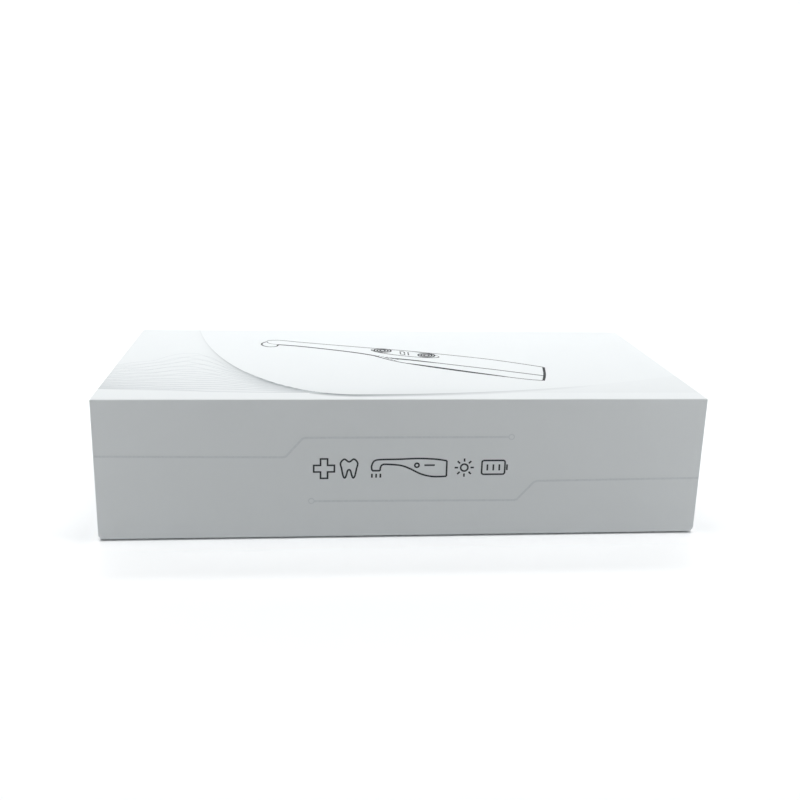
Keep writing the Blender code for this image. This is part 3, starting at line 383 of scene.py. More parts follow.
def piece(name, bm, surface, body, slot, *replaced, angle=35):
    """A finished piece from a bmesh: smooth where it is round, riding on a body."""
    obj = solid(name, bm)
    obj.data.materials.append(surface.material)
    smooth(obj, angle)
    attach(obj, body)
    if replaced:
        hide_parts(*replaced)
    return obj


def smooth(obj, angle=35):
    obj.data.shade_smooth()
    obj.data.set_sharp_from_angle(angle=radians(angle))


def bake(obj):
    """Applies an object's modifiers."""
    graph = bpy.context.evaluated_depsgraph_get()
    mesh = bpy.data.meshes.new_from_object(obj.evaluated_get(graph))
    obj.modifiers.clear()
    obj.data = mesh


def carve(obj, operation, *shapes, angle=40):
    """Applies Booleans with the shapes, bmeshes or objects, which are used up."""
    tools = [shape if isinstance(shape, bpy.types.Object) else solid("tool", shape) for shape in shapes]
    for other in tools:
        modifier = obj.modifiers.new(other.name, "BOOLEAN")
        configure(modifier, operation=operation, object=other, solver="EXACT")
    bake(obj)
    for other in tools:
        bpy.data.objects.remove(other)
    smooth(obj, angle)


def round_edges(obj, width, segments, angle):
    modifier = obj.modifiers.new("edges", "BEVEL")
    configure(modifier, width=width, segments=segments, limit_method="ANGLE", angle_limit=radians(angle))
    bake(obj)
    smooth(obj)


# ======== shapes
def skin(bm, rings, closed=False):
    """Adds a solid through rings of equally many points: flat ends, or joined end to end when closed."""
    rows = [[bm.verts.new(p) for p in ring] for ring in rings]
    pairs = list(zip(rows, rows[1:])) + ([(rows[-1], rows[0])] if closed else [])
    for low, high in pairs:
        for i in range(len(low)):
            j = (i + 1) % len(low)
            bm.faces.new((low[i], low[j], high[j], high[i]))
    if not closed:
        bm.faces.new(rows[0])
        bm.faces.new(rows[-1])


def loft(rings, closed=False):
    bm = bmesh.new()
    skin(bm, rings, closed)
    return bm


def arc(radius, start, end, steps, centre=(0, 0)):
    """Points on a circle from one angle to another, in degrees."""
    points = []
    for k in range(steps + 1):
        angle = radians(start + (end - start) * k / steps)
        points.append((centre[0] + radius * cos(angle), centre[1] + radius * sin(angle)))
    return points


def oval(half_length, half_width, power=2.0, centre=(0, 0), count=RING_POINTS):
    """An ellipse, or a squarer oval for a power over 2."""
    points = []
    for i in range(count):
        c, s = cos(2 * pi * i / count), sin(2 * pi * i / count)
        x = copysign(abs(c) ** (2 / power), c) * half_length
        y = copysign(abs(s) ** (2 / power), s) * half_width
        points.append((centre[0] + x, centre[1] + y))
    return points


def rounded_rectangle(half_x, half_y, radius, centre=(0, 0), corner_points=9):
    points = []
    for quarter, (sx, sy) in enumerate(((1, 1), (-1, 1), (-1, -1), (1, -1))):
        corner = (centre[0] + sx * (half_x - radius), centre[1] + sy * (half_y - radius))
        points += arc(radius, 90 * quarter, 90 * quarter + 90, corner_points - 1, corner)
    return points


def at_height(outline, z):
    return [(x, y, z) for x, y in outline]


def circle(radius, z, centre=(0, 0), count=RING_POINTS):
    """A level ring. One with no radius gets a tiny one, so that its points stay apart."""
    radius = max(radius, 0.01 * MM)
    return at_height(oval(radius, radius, 2.0, centre, count), z)


def turned(profile, centre=(0, 0), closed=False, count=RING_POINTS):
    """A solid turned about a vertical axis from (radius, z) points."""
    return loft([circle(r, z, centre, count) for r, z in profile], closed)


def prism(outline, z_low, z_high):
    return loft([at_height(outline, z) for z in (z_low, z_high)])


def cylinder(radius, z_low, z_high, centre, count=RING_POINTS):
    return turned([(radius, z_low), (radius, z_high)], centre, False, count)


def box(low, high):
    centre = [(a + b) / 2 for a, b in zip(low, high)]
    size = [b - a for a, b in zip(low, high)]
    bm = bmesh.new()
    bmesh.ops.create_cube(bm, size=1.0, matrix=Matrix.Translation(centre) @ Matrix.Diagonal((*size, 1.0)))
    return bm


def hermite(t, a, b, slope_a, slope_b):
    """A smooth run from a (t = 0) to b (t = 1) with the given slopes at its ends."""
    start = (2 * t**3 - 3 * t**2 + 1) * a + (t**3 - 2 * t**2 + t) * slope_a
    return start + (3 * t**2 - 2 * t**3) * b + (t**3 - t**2) * slope_b


def around(points, i, offsets, closed=False):
    """The points at offsets from point i: on round the loop if closed, or else no further than the ends."""
    count = len(points)
    return [points[(i + k) % count if closed else min(max(i + k, 0), count - 1)] for k in offsets]


def smooth_curve(points, steps=8, closed=False):
    """More points along a smooth curve through the given ones."""
    points = [Vector(p) for p in points]
    route = []
    for i in range(len(points) if closed else len(points) - 1):
        before, a, b, after = around(points, i, (-1, 0, 1, 2), closed)
        for k in range(steps):
            route.append(hermite(k / steps, a, b, (b - before) / 2, (after - a) / 2))
    return route if closed else route + [points[-1]]


def in_mm(points):
    return [(a * MM, b * MM) for a, b in points]


def stroke(bm, points, width, place, closed=False, taper=0.0):
    """Adds one inked line: a flat closed strip along 2-D points, which place() puts on a surface.

    taper is the share of its width that the line has lost at its two ends.
    """
    points = [Vector(p) for p in points]
    last = len(points) - 1
    rows = []
    for i, point in enumerate(points):
        behind, ahead = around(points, i, (-1, 1), closed)
        first, second = point - behind, ahead - point
        first = first.normalized() if first.length else second.normalized()
        second = second.normalized() if second.length else first
        side = (first + second).normalized() if (first + second).length > 1e-6 else first
        side = Vector((-side.y, side.x))
        reach = width / 2 / max(0.35, side.dot(Vector((-first.y, first.x))))
        reach *= 1 - taper * (1 - sin(pi * i / last) ** 0.6 if 0 < i < last else 1)
        left, right = point + side * reach, point - side * reach
        rim = (left, 0), (right, 0), (right, INK_THICKNESS), (left, INK_THICKNESS)
        rows.append([place(*p, height) for p, height in rim])
    skin(bm, rows, closed)


def blot(bm, outline, place):
    """Adds one filled inked shape."""
    skin(bm, [[place(*p, height) for p in outline] for height in (0, INK_THICKNESS)])


# the outer strokes of a seven-segment figure, on a grid one wide and two high
SEGMENTS = (
    ((0, 2), (1, 2)), ((1, 2), (1, 1)), ((1, 1), (1, 0)),
    ((0, 0), (1, 0)), ((0, 0), (0, 1)), ((0, 1), (0, 2)),
)
DIGITS = {"0": SEGMENTS, "1": SEGMENTS[1:3]}


def digit(bm, figure, corner, width, height, line, place, slant):
    """One seven-segment figure, its lower left corner at corner."""
    for segment in DIGITS[figure]:
        ends = []
        for a, b in segment:
            rise = b * height / 2
            ends.append(Vector((corner[0] + a * width + slant * rise, corner[1] + rise)))
        start, end = ends
        trim = (end - start).normalized() * line * 0.55
        stroke(bm, [start + trim, end - trim], line, place)


# ======== carton
def make_board_box(name, low, high, board, opening, surface, body, corner):
    """A box of wrapped board, open at its top (+1) or bottom (-1), with blunted corners at the opening."""
    rim = high.z if opening > 0 else low.z
    outer = box(low, high)
    blunted = [v for v in outer.verts if abs(v.co.z - rim) < 0.1 * MM]
    bmesh.ops.bevel(outer, geom=blunted, offset=corner, segments=4, affect="VERTICES", profile=0.5)
    long_edges = [e for e in outer.edges if e.calc_length() > 20 * MM]
    bmesh.ops.bevel(outer, geom=long_edges, offset=EDGE_ROUND, segments=3, affect="EDGES", profile=0.5)
    obj = piece(name, outer, surface, body, "printed_board", name.replace("_wrap", ""))
    inset, shift = Vector((board, board, 0)), Vector((0, 0, opening * board))
    carve(obj, "DIFFERENCE", box(low + inset + shift, high - inset + shift), angle=30)


def make_turn_in(name, high, board, rim, opening, surface, body):
    """The wrap's paper, folded over the rim and glued down inside, with mitred corners."""
    bm = bmesh.new()
    start, far = rim - opening * EDGE_ROUND, rim - opening * TURN_IN
    for ax, ay in ((1, 0), (-1, 0), (0, 1), (0, -1)):
        reach, along = (high.x - board, high.y - board) if ax else (high.y - board, high.x - board)
        full, mitred = along - 0.4 * MM, along - TURN_IN * 0.35
        sheet = [(-full, start), (full, start), (mitred, far), (-mitred, far)]
        layers = []
        for across in (reach, reach - TURN_IN_THICKNESS):
            layers.append([(ax * across, a, z) if ax else (a, ay * across, z) for a, z in sheet])
        skin(bm, layers)
    piece(name, bm, surface, body, "printed_board")


def make_carton():
    base_low, base_high, *_ = extent("carton_base")
    lid_low = LID_LOW + Vector((WRAP_INSET, WRAP_INSET, 0))
    lid_high = LID_HIGH - Vector((WRAP_INSET, WRAP_INSET, WRAP_INSET))
    board = LID_BOARD - WRAP_INSET
    make_board_box("carton_lid_wrap", lid_low, lid_high, board, -1, printed_paper(), "lid", LID_CORNER)
    plain = paper("plain_wrap")
    make_board_box("carton_base_wrap", base_low, base_high, BASE_BOARD, 1, plain, "carton", BASE_CORNER)
    lining = paper("turned_in_wrap", shade(PAPER, 0.97))
    make_turn_in("lid_turn_in", LID_HIGH, LID_BOARD, LID_LOW.z, -1, lining, "lid")
    make_turn_in("base_turn_in", base_high, BASE_BOARD, base_high.z, 1, lining, "carton")


# ======== print on the lid's top
def on_top(x, y, height):
    return (x, y, LID_HIGH.z - WRAP_INSET + height)


def sweep_point(degrees):
    """A point of the printed sweep: 180 degrees at its left end, 270 at its lowest point."""
    angle = radians(degrees)
    reach = SWEEP_RIGHT if cos(angle) > 0 else SWEEP_LEFT
    offset = Vector((reach * cos(angle), SWEEP_DEPTH * sin(angle)))
    return Vector(SWEEP_CENTRE) + offset


def field_edge(x):
    """The wave field's lower edge."""
    along = (x - FIELD_LEFT[0]) / (FIELD_RIGHT[0] - FIELD_LEFT[0])
    drop = (FIELD_RIGHT[1] - FIELD_LEFT[1]) * along
    return FIELD_LEFT[1] + drop - FIELD_SAG * sin(pi * along)


def wave_line(t, crest, flank, phase):
    """One line of the field, a hill that leans on the sweep: t is 0 at the lower edge and 1 at the top."""
    left = LID_LOW.x + EDGE_ROUND
    crest_y = field_edge(crest) + (1.5 + 76 * t**1.15) * MM
    left_y = field_edge(left) + (1.2 + 46 * t) * MM
    hollow = (flank, left_y + (crest_y - left_y) * 0.34)
    low_bend = Vector((-80 * MM, field_edge(-80 * MM)))
    bend = low_bend.lerp(sweep_point(228), t**0.8 * 0.95)
    foot = sweep_point(261 - 20 * t)
    points = []
    for x, y in smooth_curve([(left, left_y), hollow, (crest, crest_y), bend, foot], 16)[:-1]:
        ripple = 0.7 * MM * t**0.5 * sin(2 * pi * (x / (15 * MM) + phase))
        points.append((x, max(y + ripple, field_edge(x) + 0.3 * MM)))
    return points + [foot]


def make_waves():
    """Two families of fine lines that cross like a net on the hill's flanks."""
    bm = bmesh.new()
    count = 9
    for crest, flank, lift in ((-100 * MM, -119 * MM, 0.0), (-106 * MM, -124 * MM, 0.5)):
        for k in range(count):
            t = (k + lift) / count
            stroke(bm, wave_line(t, crest, flank, lift + 0.31 * k), (0.55 - 0.4 * t) * MM, on_top)
    piece("print_waves", bm, ink("wave_ink", (0.55, 0.585, 0.605)), "lid", "printed_board")


def on_drawing(along, up, height):
    """The drawing's own frame: along from the head's tip to the rear, up across it."""
    c, s = cos(DRAWING_ANGLE), sin(DRAWING_ANGLE)
    return on_top(DRAWING_TIP.x + along * c - up * s, DRAWING_TIP.y + along * s + up * c, height)


def make_light_drawing():
    """A line drawing of the light in the carton, seen from its side and a little above; in millimetres."""
    bm = bmesh.new()

    def draw(width, points, taper=0.0, closed=False):
        stroke(bm, in_mm(points), width * MM, on_drawing, closed, taper)

    def curve(width, *points, taper=0.0):
        draw(width, smooth_curve(points), taper)

    # back, neck, belly and parting line
    back = (0.5, 7.6), (6, 11.1), (18, 12.0), (35, 13.6), (60, 16.3), (83, 18.9), (118, 20.0), (136, 18.8)
    curve(0.8, *back, (155, 15.9))
    curve(1.5, (10.1, 1.3), (22, 2.9), (40, 3.3), (55, 2.8), (66, 1.2), (70, -0.3))
    curve(0.9, (70, -0.3), (73, -2.0), (81, -5.4), (91, -7.6), (101, -8.3))
    curve(2.5, (88, -7.0), (100, -8.2), (112, -9.3), (128, -10.5), (144, -11.3), taper=0.8)
    curve(0.8, (142, -11.3), (153, -11.5), (160.5, -10.4))
    curve(0.95, (74, -0.7), (88, 0.3), (101, 0.4), (115, 0.2), (132, 0.0), (146, -0.6), (159, -1.2))
    curve(1.7, (76, -0.5), (88, 0.3), (104, 0.4), taper=0.7)
    for k in range(6):
        along = 68.5 + 2.4 * k
        draw(0.4, [(along, -0.6 - 0.95 * k), (along + 1.6, 2.0 - 0.35 * k)])

    # the head with its rim, and the cap's end
    head = (1.6, 5.3), (1.0, 2.0), (1.7, -1.4), (4.6, -4.6), (8.3, -5.4), (10.9, -3.6), (11.3, -1.0)
    curve(0.9, *head, (10.1, 1.3))
    curve(0.4, (1.6, 5.3), (3.6, 2.7), (6.6, 1.5), (10.1, 1.3))
    curve(1.3, (155.2, 15.6), (157.2, 8.0), (158.7, 1.8), (159.8, -4.0), (160.8, -10.4))

    # the panel, its two keys and the display's figures
    panel = oval(19.2, 5.7, 2.0, (80.3, 12.9), 40)
    middle = len(panel) // 2
    draw(0.85, panel[middle:] + panel[:1])
    draw(0.35, panel[: middle + 1])
    for centre, half_length, half_height in (((67.2, 13.6), 4.6, 4.0), ((92.2, 13.9), 4.4, 4.2)):
        for share in (1.0, 0.66, 0.32):
            draw(1.0, oval(half_length * share, half_height * share, 2.0, centre, 40), closed=True)
    for figure, along in (("0", 79.2), ("1", 81.4)):
        digit(bm, figure, (along * MM, 9.4 * MM), 2.3 * MM, 6.8 * MM, 0.7 * MM, on_drawing, -0.42)
    piece("print_light_drawing", bm, ink("drawing_ink", (0.035, 0.038, 0.042)), "lid", "printed_board")


# ======== print on the lid's front
def on_front(right, down, height):
    """The front face's own frame, from its upper left corner."""
    return (LID_LOW.x + right, LID_LOW.y + WRAP_INSET - height, LID_HIGH.z - down)


def make_front_lines():
    """Two faint stepped lines with a small ring at one end of each."""
    bm = bmesh.new()
    edge = EDGE_ROUND / MM
    far_edge = (LID_HIGH.x - LID_LOW.x) / MM - edge
    upper = [(edge, 26.5), (84.0, 27.4), (85.4, 27.0), (92.8, 18.6), (94.2, 18.1), (187.2, 18.2)]
    lower = [(98.2, 48.9), (191.4, 49.4), (192.8, 49.0), (200.4, 40.4), (201.8, 39.9), (far_edge, 39.1)]
    for line in (upper, lower):
        stroke(bm, in_mm(line), 1.0 * MM, on_front)
    for centre in ((188.6, 18.2), (96.8, 48.8)):
        stroke(bm, in_mm(oval(1.25, 1.25, 2.0, centre, 24)), 0.5 * MM, on_front, closed=True)
    piece("print_front_lines", bm, ink("pale_ink", (0.675, 0.708, 0.722)), "lid", "printed_board")


def make_icons():
    """Line pictograms across the middle of the front, in place of lettering; in millimetres."""
    bm = bmesh.new()
    middle, half = 33.0, 4.7

    def draw(x, points, closed=False):
        """A line through points to the right of x and below the icons' middle."""
        placed = [(x + right, middle + down) for right, down in points]
        stroke(bm, in_mm(placed), 0.78 * MM, on_front, closed)

    def draw_cross(x):
        wide = 1.6
        arm = [(-wide, -half), (wide, -half), (wide, -wide)]
        plus = []
        for _ in range(4):
            plus += arm
            arm = [(-down, right) for right, down in arm]
        draw(x, plus, closed=True)

    def draw_tooth(x):
        side = [(2.2, -4.5), (3.9, -2.6), (3.4, 0.2), (2.7, 3.6), (1.9, 4.6), (1.2, 3.2), (0.7, 1.2)]
        outline = [(0, -3.2), *side, (0, 0.6)] + [(-right, down) for right, down in side[::-1]]
        draw(x, smooth_curve(outline, 6, closed=True), closed=True)

    def draw_light(x):
        """The light's profile with its head down, above three short rays."""
        tip, rim, inside, end, keel = (0.2, 1.2), (3.9, 1.2), (3.9, 0.0), (34.6, -3.4), (34.6, 4.2)
        back = [(-0.1, -1.0), (1.2, -3.6), (4.5, -4.2), (12.11, -4.3), (21.45, -4.6), (29.41, -4.2)]
        belly = [(28.37, 4.3), (22.84, 3.0), (17.3, 0.2), (13.15, -1.3), (6.6, -1.9), (4.6, -1.5)]
        draw(x, smooth_curve([tip, *back, end], 6))
        draw(x, smooth_curve([keel, *belly, inside, rim], 6))
        draw(x, [end, keel])
        draw(x, [tip, rim])
        draw(x, oval(1.0, 1.0, 2.0, (20.76, -1.3), 16), closed=True)
        draw(x, [(24.22, -1.3), (29.06, -1.3)])
        for ray in (0.1, 2.05, 4.0):
            draw(x, [(ray, 2.7), (ray, 4.6)])

    def draw_sun(x):
        draw(x, oval(1.7, 1.7, count=24), closed=True)
        for c, s in oval(1.0, 1.0, count=8):
            draw(x, [(2.9 * c, 2.9 * s), (4.5 * c, 4.5 * s)])

    def draw_battery(x):
        draw(x, rounded_rectangle(5.4, 3.4, 0.9, corner_points=4), closed=True)
        draw(x, [(6.4, -1.4), (6.4, 1.4)])
        for bar in (-2.8, 0.0, 2.8):
            draw(x, [(bar, -1.5), (bar, 1.5)])

    draw_cross(102.6)
    draw_tooth(114.0)
    draw_sun(167.2)
    draw_battery(180.8)
    draw_light(124.4)
    piece("print_icons", bm, ink("icon_ink", (0.045, 0.05, 0.055)), "lid", "printed_board")


# ======== light: body surface
def body_at(s):
    """(half width, top, bottom, squareness) of the light at s, on a smooth curve through STATIONS."""
    s_mm = s / MM
    i = max(k for k in range(len(STATIONS) - 1) if STATIONS[k][0] <= s_mm or k == 0)
    before, a, b, after = around(STATIONS, i, (-1, 0, 1, 2))
    span = b[0] - a[0]
    values = []
    for k in range(1, 5):
        slope_a = (b[k] - before[k]) / (b[0] - before[0]) * span
        slope_b = (after[k] - a[k]) / (after[0] - a[0]) * span
        values.append(hermite((s_mm - a[0]) / span, a[k], b[k], slope_a, slope_b))
    half_width, top, bottom, power = values
    return half_width * MM, top * MM, bottom * MM, power


def in_light(s, y, z):
    return LIGHT_TIP + Vector((s, y, z))


def section(s, inset=0.0, at=None, count=RING_POINTS):
    """The light's outline across s, put at another place along it if one is given."""
    half_width, top, bottom, power = body_at(s)
    outline = oval(half_width - inset, (top - bottom) / 2 - inset, power, (0, (top + bottom) / 2), count)
    return [in_light(s if at is None else at, y, z) for y, z in outline]


def body_rings(start, end, step, inset=0.0, count=RING_POINTS):
    steps = max(1, round((end - start) / step))
    return [section(start + (end - start) * i / steps, inset, None, count) for i in range(steps + 1)]


def hollow(start):
    """The space inside the casing's wall, from s to the rear."""
    return loft(body_rings(start, LIGHT_LENGTH, HOLLOW_STEP, WALL, HOLLOW_POINTS))


def top_z(s, y, inset=0.0):
    half_width, top, bottom, power = body_at(s)
    middle, half_height = (top + bottom) / 2, (top - bottom) / 2 - inset
    return middle + half_height * max(0.0, 1 - abs(y / (half_width - inset)) ** power) ** (1 / power)


def head_rings():
    """Rings from the head's lower rim, round the bend, to the start of the neck."""
    crotch, fullness, steps = 0.6 * MM, 2.3, 16
    pivot_s = 2 * HEAD_RADIUS + crotch
    neck_width, neck_top, neck_bottom, _ = body_at(pivot_s)
    pivot_z = neck_bottom - crotch

    def ring(z, out, half, half_width, c, s):
        """An oval round a point that lies out from the pivot, up by c and towards the tip by s."""
        outline = oval(half_width, half)
        return [in_light(pivot_s - (out + b) * s, a, z + (out + b) * c) for a, b in outline]

    rings = []
    for rise, shrink in ((0, 0.3), (0.15, 0.08), (0.4, 0)):
        radius = HEAD_RADIUS - shrink * MM
        rings.append(ring(HEAD_BOTTOM + rise * MM, pivot_s - HEAD_RADIUS, radius, radius, 0, 1))
    rings.append(ring(pivot_z - 1.5 * MM, pivot_s - HEAD_RADIUS, HEAD_RADIUS, HEAD_RADIUS, 0, 1))
    for k in range(steps + 1):
        turn = pi / 2 * (1 - k / steps)
        c, s = cos(turn), sin(turn)
        reach = ((c / (neck_top - pivot_z)) ** fullness + (s / pivot_s) ** fullness) ** (-1 / fullness)
        share = (1 - cos(pi * k / steps)) / 2
        half, half_width = (reach - crotch) / 2, HEAD_RADIUS + (neck_width - HEAD_RADIUS) * share
        rings.append(ring(pivot_z, crotch + half, half, half_width, c, s))
    return rings, pivot_s


def upward_cut(outline):
    """A prism up through the light's top, from (s, y) points."""
    return loft([[in_light(s, y, z) for s, y in outline] for z in (0, CLEAR)])


def panel_outline(grow=0.0):
    return oval(PANEL_HALF_LENGTH + grow, PANEL_HALF_WIDTH + grow, 2.2, (PANEL_S, 0))


def button_outline(s, grow, count):
    return oval(BUTTON_HALF_LENGTH + grow, BUTTON_HALF_WIDTH + grow, 2.0, (s, 0), count)


def surface_patch(outline, low, high, rings=10):
    """A thin solid over an outline of (s, y) points that follows the light's top surface."""
    centre = sum(s for s, _ in outline) / len(outline)
    shares = [k / rings for k in range(1, rings + 1)]
    rows = []
    for share, offset in [(share, low) for share in shares] + [(share, high) for share in shares[::-1]]:
        flat = [(centre + (s - centre) * share, y * share) for s, y in outline]
        rows.append([in_light(s, y, top_z(s, y) + offset) for s, y in flat])
    return loft(rows)


def make_casings():
    white = casing_plastic()
    rings, neck_start = head_rings()
    outer = loft(rings + body_rings(neck_start + BODY_STEP, CASING_END, BODY_STEP))
    upper = piece("upper_casing_shell", outer, white, "light", "white_casing", "upper_casing")
    far = CASING_END + CLEAR
    floor = LIGHT_TIP.z
    bore = [(HEAD_BORE, floor - 20 * MM), (HEAD_BORE, floor), (HEAD_BORE - 1.7 * MM, floor + 1.9 * MM)]
    cuts = [
        box(in_light(SPLIT_S, -CLEAR, -CLEAR), in_light(far, CLEAR, PARTING_Z + PARTING_GAP / 2)),
        hollow(HEAD_RADIUS),
        turned(bore, HEAD_CENTRE, False, 64),
        surface_patch(panel_outline(GAP), -PANEL_DEPTH, 3 * MM),
    ]
    for s in (POWER_S, MODE_S):
        cuts.append(upward_cut(button_outline(s, GAP, 48)))
    cuts.append(upward_cut(rounded_rectangle(7.5 * MM, 3.6 * MM, 1 * MM, (DISPLAY_S, 0), 4)))
    carve(upper, "DIFFERENCE", *cuts)

    outer = loft(body_rings(SPLIT_S - 4 * MM, CASING_END, BODY_STEP))
    lower = piece("lower_casing_shell", outer, white, "light", "white_casing", "lower_casing")
    keep = box(in_light(SPLIT_S + GAP, -CLEAR, -CLEAR), in_light(far, CLEAR, PARTING_Z - PARTING_GAP / 2))
    carve(lower, "INTERSECT", keep)
    cuts = [hollow(80 * MM)]
    for s in SCREW_S:
        centre, bottom = (LIGHT_TIP.x + s, LIGHT_TIP.y), LIGHT_TIP.z + body_at(s)[2]
        cuts.append(cylinder(2.3 * MM, bottom - 2 * MM, bottom + 1.2 * MM, centre, 40))
    carve(lower, "DIFFERENCE", *cuts)


# ======== light: controls
def on_panel(s, y, height):
    return in_light(s, y, top_z(s, y) - PANEL_TOP + height)


def make_panel():
    patch = surface_patch(panel_outline(), -PANEL_DEPTH + GAP, -PANEL_TOP)
    panel = piece("control_panel_film", patch, panel_film(), "light", "panel_gloss", "control_panel")
    carve(panel, "DIFFERENCE", *[upward_cut(button_outline(s, GAP, 64)) for s in (POWER_S, MODE_S)])

    bm = bmesh.new()
    window = rounded_rectangle(7.2 * MM, 3.7 * MM, 1.1 * MM, (DISPLAY_S, 0), 6)
    for outline in [window] + [button_outline(s, 1.0 * MM, 64) for s in (POWER_S, MODE_S)]:
        stroke(bm, outline, 0.28 * MM, on_panel, closed=True)
    piece("panel_print", bm, ink("panel_ink", (0.50, 0.53, 0.56)), "light", "panel_gloss")

    bm = bmesh.new()
    for figure, s in (("1", -3.6), ("0", 0.2)):
        digit(bm, figure, (DISPLAY_S + s * MM, -2.1 * MM), 2.3 * MM, 4.2 * MM, 0.5 * MM, on_panel, 0.1)
    for y in (-1.6, 0.0, 1.6):
        blot(bm, oval(0.38 * MM, 0.38 * MM, 2.0, (DISPLAY_S + 5.5 * MM, y * MM), 16), on_panel)
    piece("display_figures", bm, lamp("display_light", (0.35, 0.75, 1.0), 0.7), "light", "display_black")


def button_top(s, share):
    """Height of a button's dished top at a share of the way from its middle to the dish's rim."""
    return top_z(s, 0) + BUTTON_PROUD - DISH_DEPTH * (1 - share**2)


def make_button(name, body, s, surface):
    """A moulded key: a flange under the panel, an upright wall and a shallow dish on top."""
    crown = top_z(s, 0) + BUTTON_PROUD
    foot = extent(name)[0].z - LIGHT_TIP.z
    inside = top_z(s - BUTTON_HALF_LENGTH, BUTTON_HALF_WIDTH + 0.7 * MM, WALL) - GAP
    levels = [
        (0.25, foot), (0.25, inside - 0.8 * MM), (1.12, inside - 0.8 * MM), (1.12, inside),
        (0.97, inside + 0.05 * MM), (0.97, crown - 0.35 * MM), (0.955, crown - 0.15 * MM),
        (0.92, crown - 0.03 * MM), (0.88, crown),
    ]
    for k in range(8):
        levels.append((BUTTON_DISH * (1 - k / 8), button_top(s, 1 - k / 8)))
    rings = []
    for share, z in levels:
        outline = oval(BUTTON_HALF_LENGTH * share, BUTTON_HALF_WIDTH * share, 2.0, (s, 0))
        rings.append([in_light(a, b, z) for a, b in outline])
    piece(f"{name}_cap", loft(rings), surface, body, "white_casing", name, angle=50)


def make_buttons():
    """The two keys with their marks: a power sign and a pair of chevrons."""
    key = textured_plastic("key_grey", (0.42, 0.44, 0.46), 0.38, 3000)
    mark = ink("key_ink", (0.9, 0.92, 0.93))
    power_sign = [arc(1.45, 40, 320, 30), [(0.4, 0), (1.2, 0), (2.0, 0)]]
    chevrons = [[(shift - 0.6, -1.3), (shift + 0.6, 0), (shift - 0.6, 1.3)] for shift in (-0.9, 0.9)]
    for name, body, s, lines in (
        ("power_button", "power_key", POWER_S, power_sign), ("mode_button", "mode_key", MODE_S, chevrons),
    ):
        make_button(name, body, s, key)

        def on_button(a, b, height, s=s):
            share = min(1.0, hypot(a / BUTTON_HALF_LENGTH, b / BUTTON_HALF_WIDTH) / BUTTON_DISH)
            return in_light(s + a, b, button_top(s, share) + 0.01 * MM + height)

        bm = bmesh.new()
        for line in lines:
            stroke(bm, in_mm(line), 0.32 * MM, on_button)
        piece(f"{name}_mark", bm, mark, body, "white_casing")


# ======== light: head and rear end
def make_head_ring(surface):
    """The lens ring, with fine grip notches round its rim."""
    ring_low, ring_high, *_ = extent("lens_ring")
    low, top = ring_low.z, ring_high.z
    inner, outer = 4.5 * MM, HEAD_RADIUS
    count = 48 * 4  # notches, and points for each
    bore_rim, outer_rim = ((0, 0.3), (0.25, 0.06), (0.5, 0)), ((0.55, 0), (0.2, 0.1), (0.02, 0.35), (0, 0.5))
    profile = [(inner, top)] + [(inner + r * MM, low + z * MM) for r, z in bore_rim]
    profile += [(outer - r * MM, low + z * MM) for r, z in outer_rim]
    profile += [(outer, top - 0.1 * MM), (outer - 0.1 * MM, top)]
    rings = []
    for r, z in profile:
        ring = circle(r, z, HEAD_CENTRE, count)
        if r > outer - 0.15 * MM:
            ring[::4] = circle(r - 0.12 * MM, z, HEAD_CENTRE, count)[::4]
        rings.append(ring)
    piece("lens_ring_turned", loft(rings, closed=True), surface, "light", "satin_aluminium", "lens_ring")


def make_contact(name, body, node, axis, foot, surface):
    """A charging pin with a domed end, along X (axis 0) or Z (axis 2) of its node's box.

    foot is the outline of its flange, if it has one, as (radius, distance from the pin's start) points.
    """
    low, _, place, half = extent(node)
    radius, dome, length = 1.4 * MM, 0.5 * MM, 2 * half[axis]
    profile = [(0, 0), *foot, (radius, foot[-1][1] if foot else 0)]
    profile += [(radius * c, length - dome * (1 - s)) for c, s in arc(1, 0, 90, 6)]
    bm = turned(profile, count=48)
    if axis == 0:
        bmesh.ops.rotate(bm, verts=bm.verts, matrix=Matrix.Rotation(pi / 2, 3, "Y"))
    place[axis] = low[axis]
    bmesh.ops.translate(bm, verts=bm.verts, vec=place)
    piece(name, bm, surface, body, "gilt_brass", node)


def make_rear_cap(surface):
    """The end cap, with rounded edges and a shallow dish round its contacts."""
    low, high, *_ = extent("rear_cap")
    start, end, shoulder = low.x - LIGHT_TIP.x, high.x - LIGHT_TIP.x, CASING_END + CAP_RISE
    plug, chamfer, edge = WALL + GAP, 0.15 * MM, 0.9 * MM
    levels = [(plug + 1.4 * MM, start), (plug, start), (plug, shoulder), (chamfer, shoulder)]
    levels.append((0, shoulder + chamfer))
    levels += [(edge * (1 - c), end - edge * (1 - s)) for c, s in arc(1, 0, 90, 5)]
    levels += [(3.0 * MM, end), (3.5 * MM, end - 0.35 * MM), (9.0 * MM, end - 0.35 * MM)]
    rings = [section(CASING_END, inset, at) for inset, at in levels]
    piece("rear_cap_moulding", loft(rings), surface, "light", "dark_plastic", "rear_cap", angle=30)


# ======== foam
def light_plan(margin, steps=40):
    """The light's outline from above, with a margin."""
    start = 2 * HEAD_RADIUS
    side = []
    for i in range(steps + 1):
        s = start + (LIGHT_LENGTH - start) * i / steps
        side.append((s + (margin if i == steps else 0), body_at(s)[0] + margin))
    nose = arc(HEAD_RADIUS + margin, 52, 308, 24, (HEAD_RADIUS, 0))
    outline = [(s, -y) for s, y in side] + side[::-1] + nose
    return [(LIGHT_TIP.x + s, LIGHT_TIP.y + y) for s, y in outline]


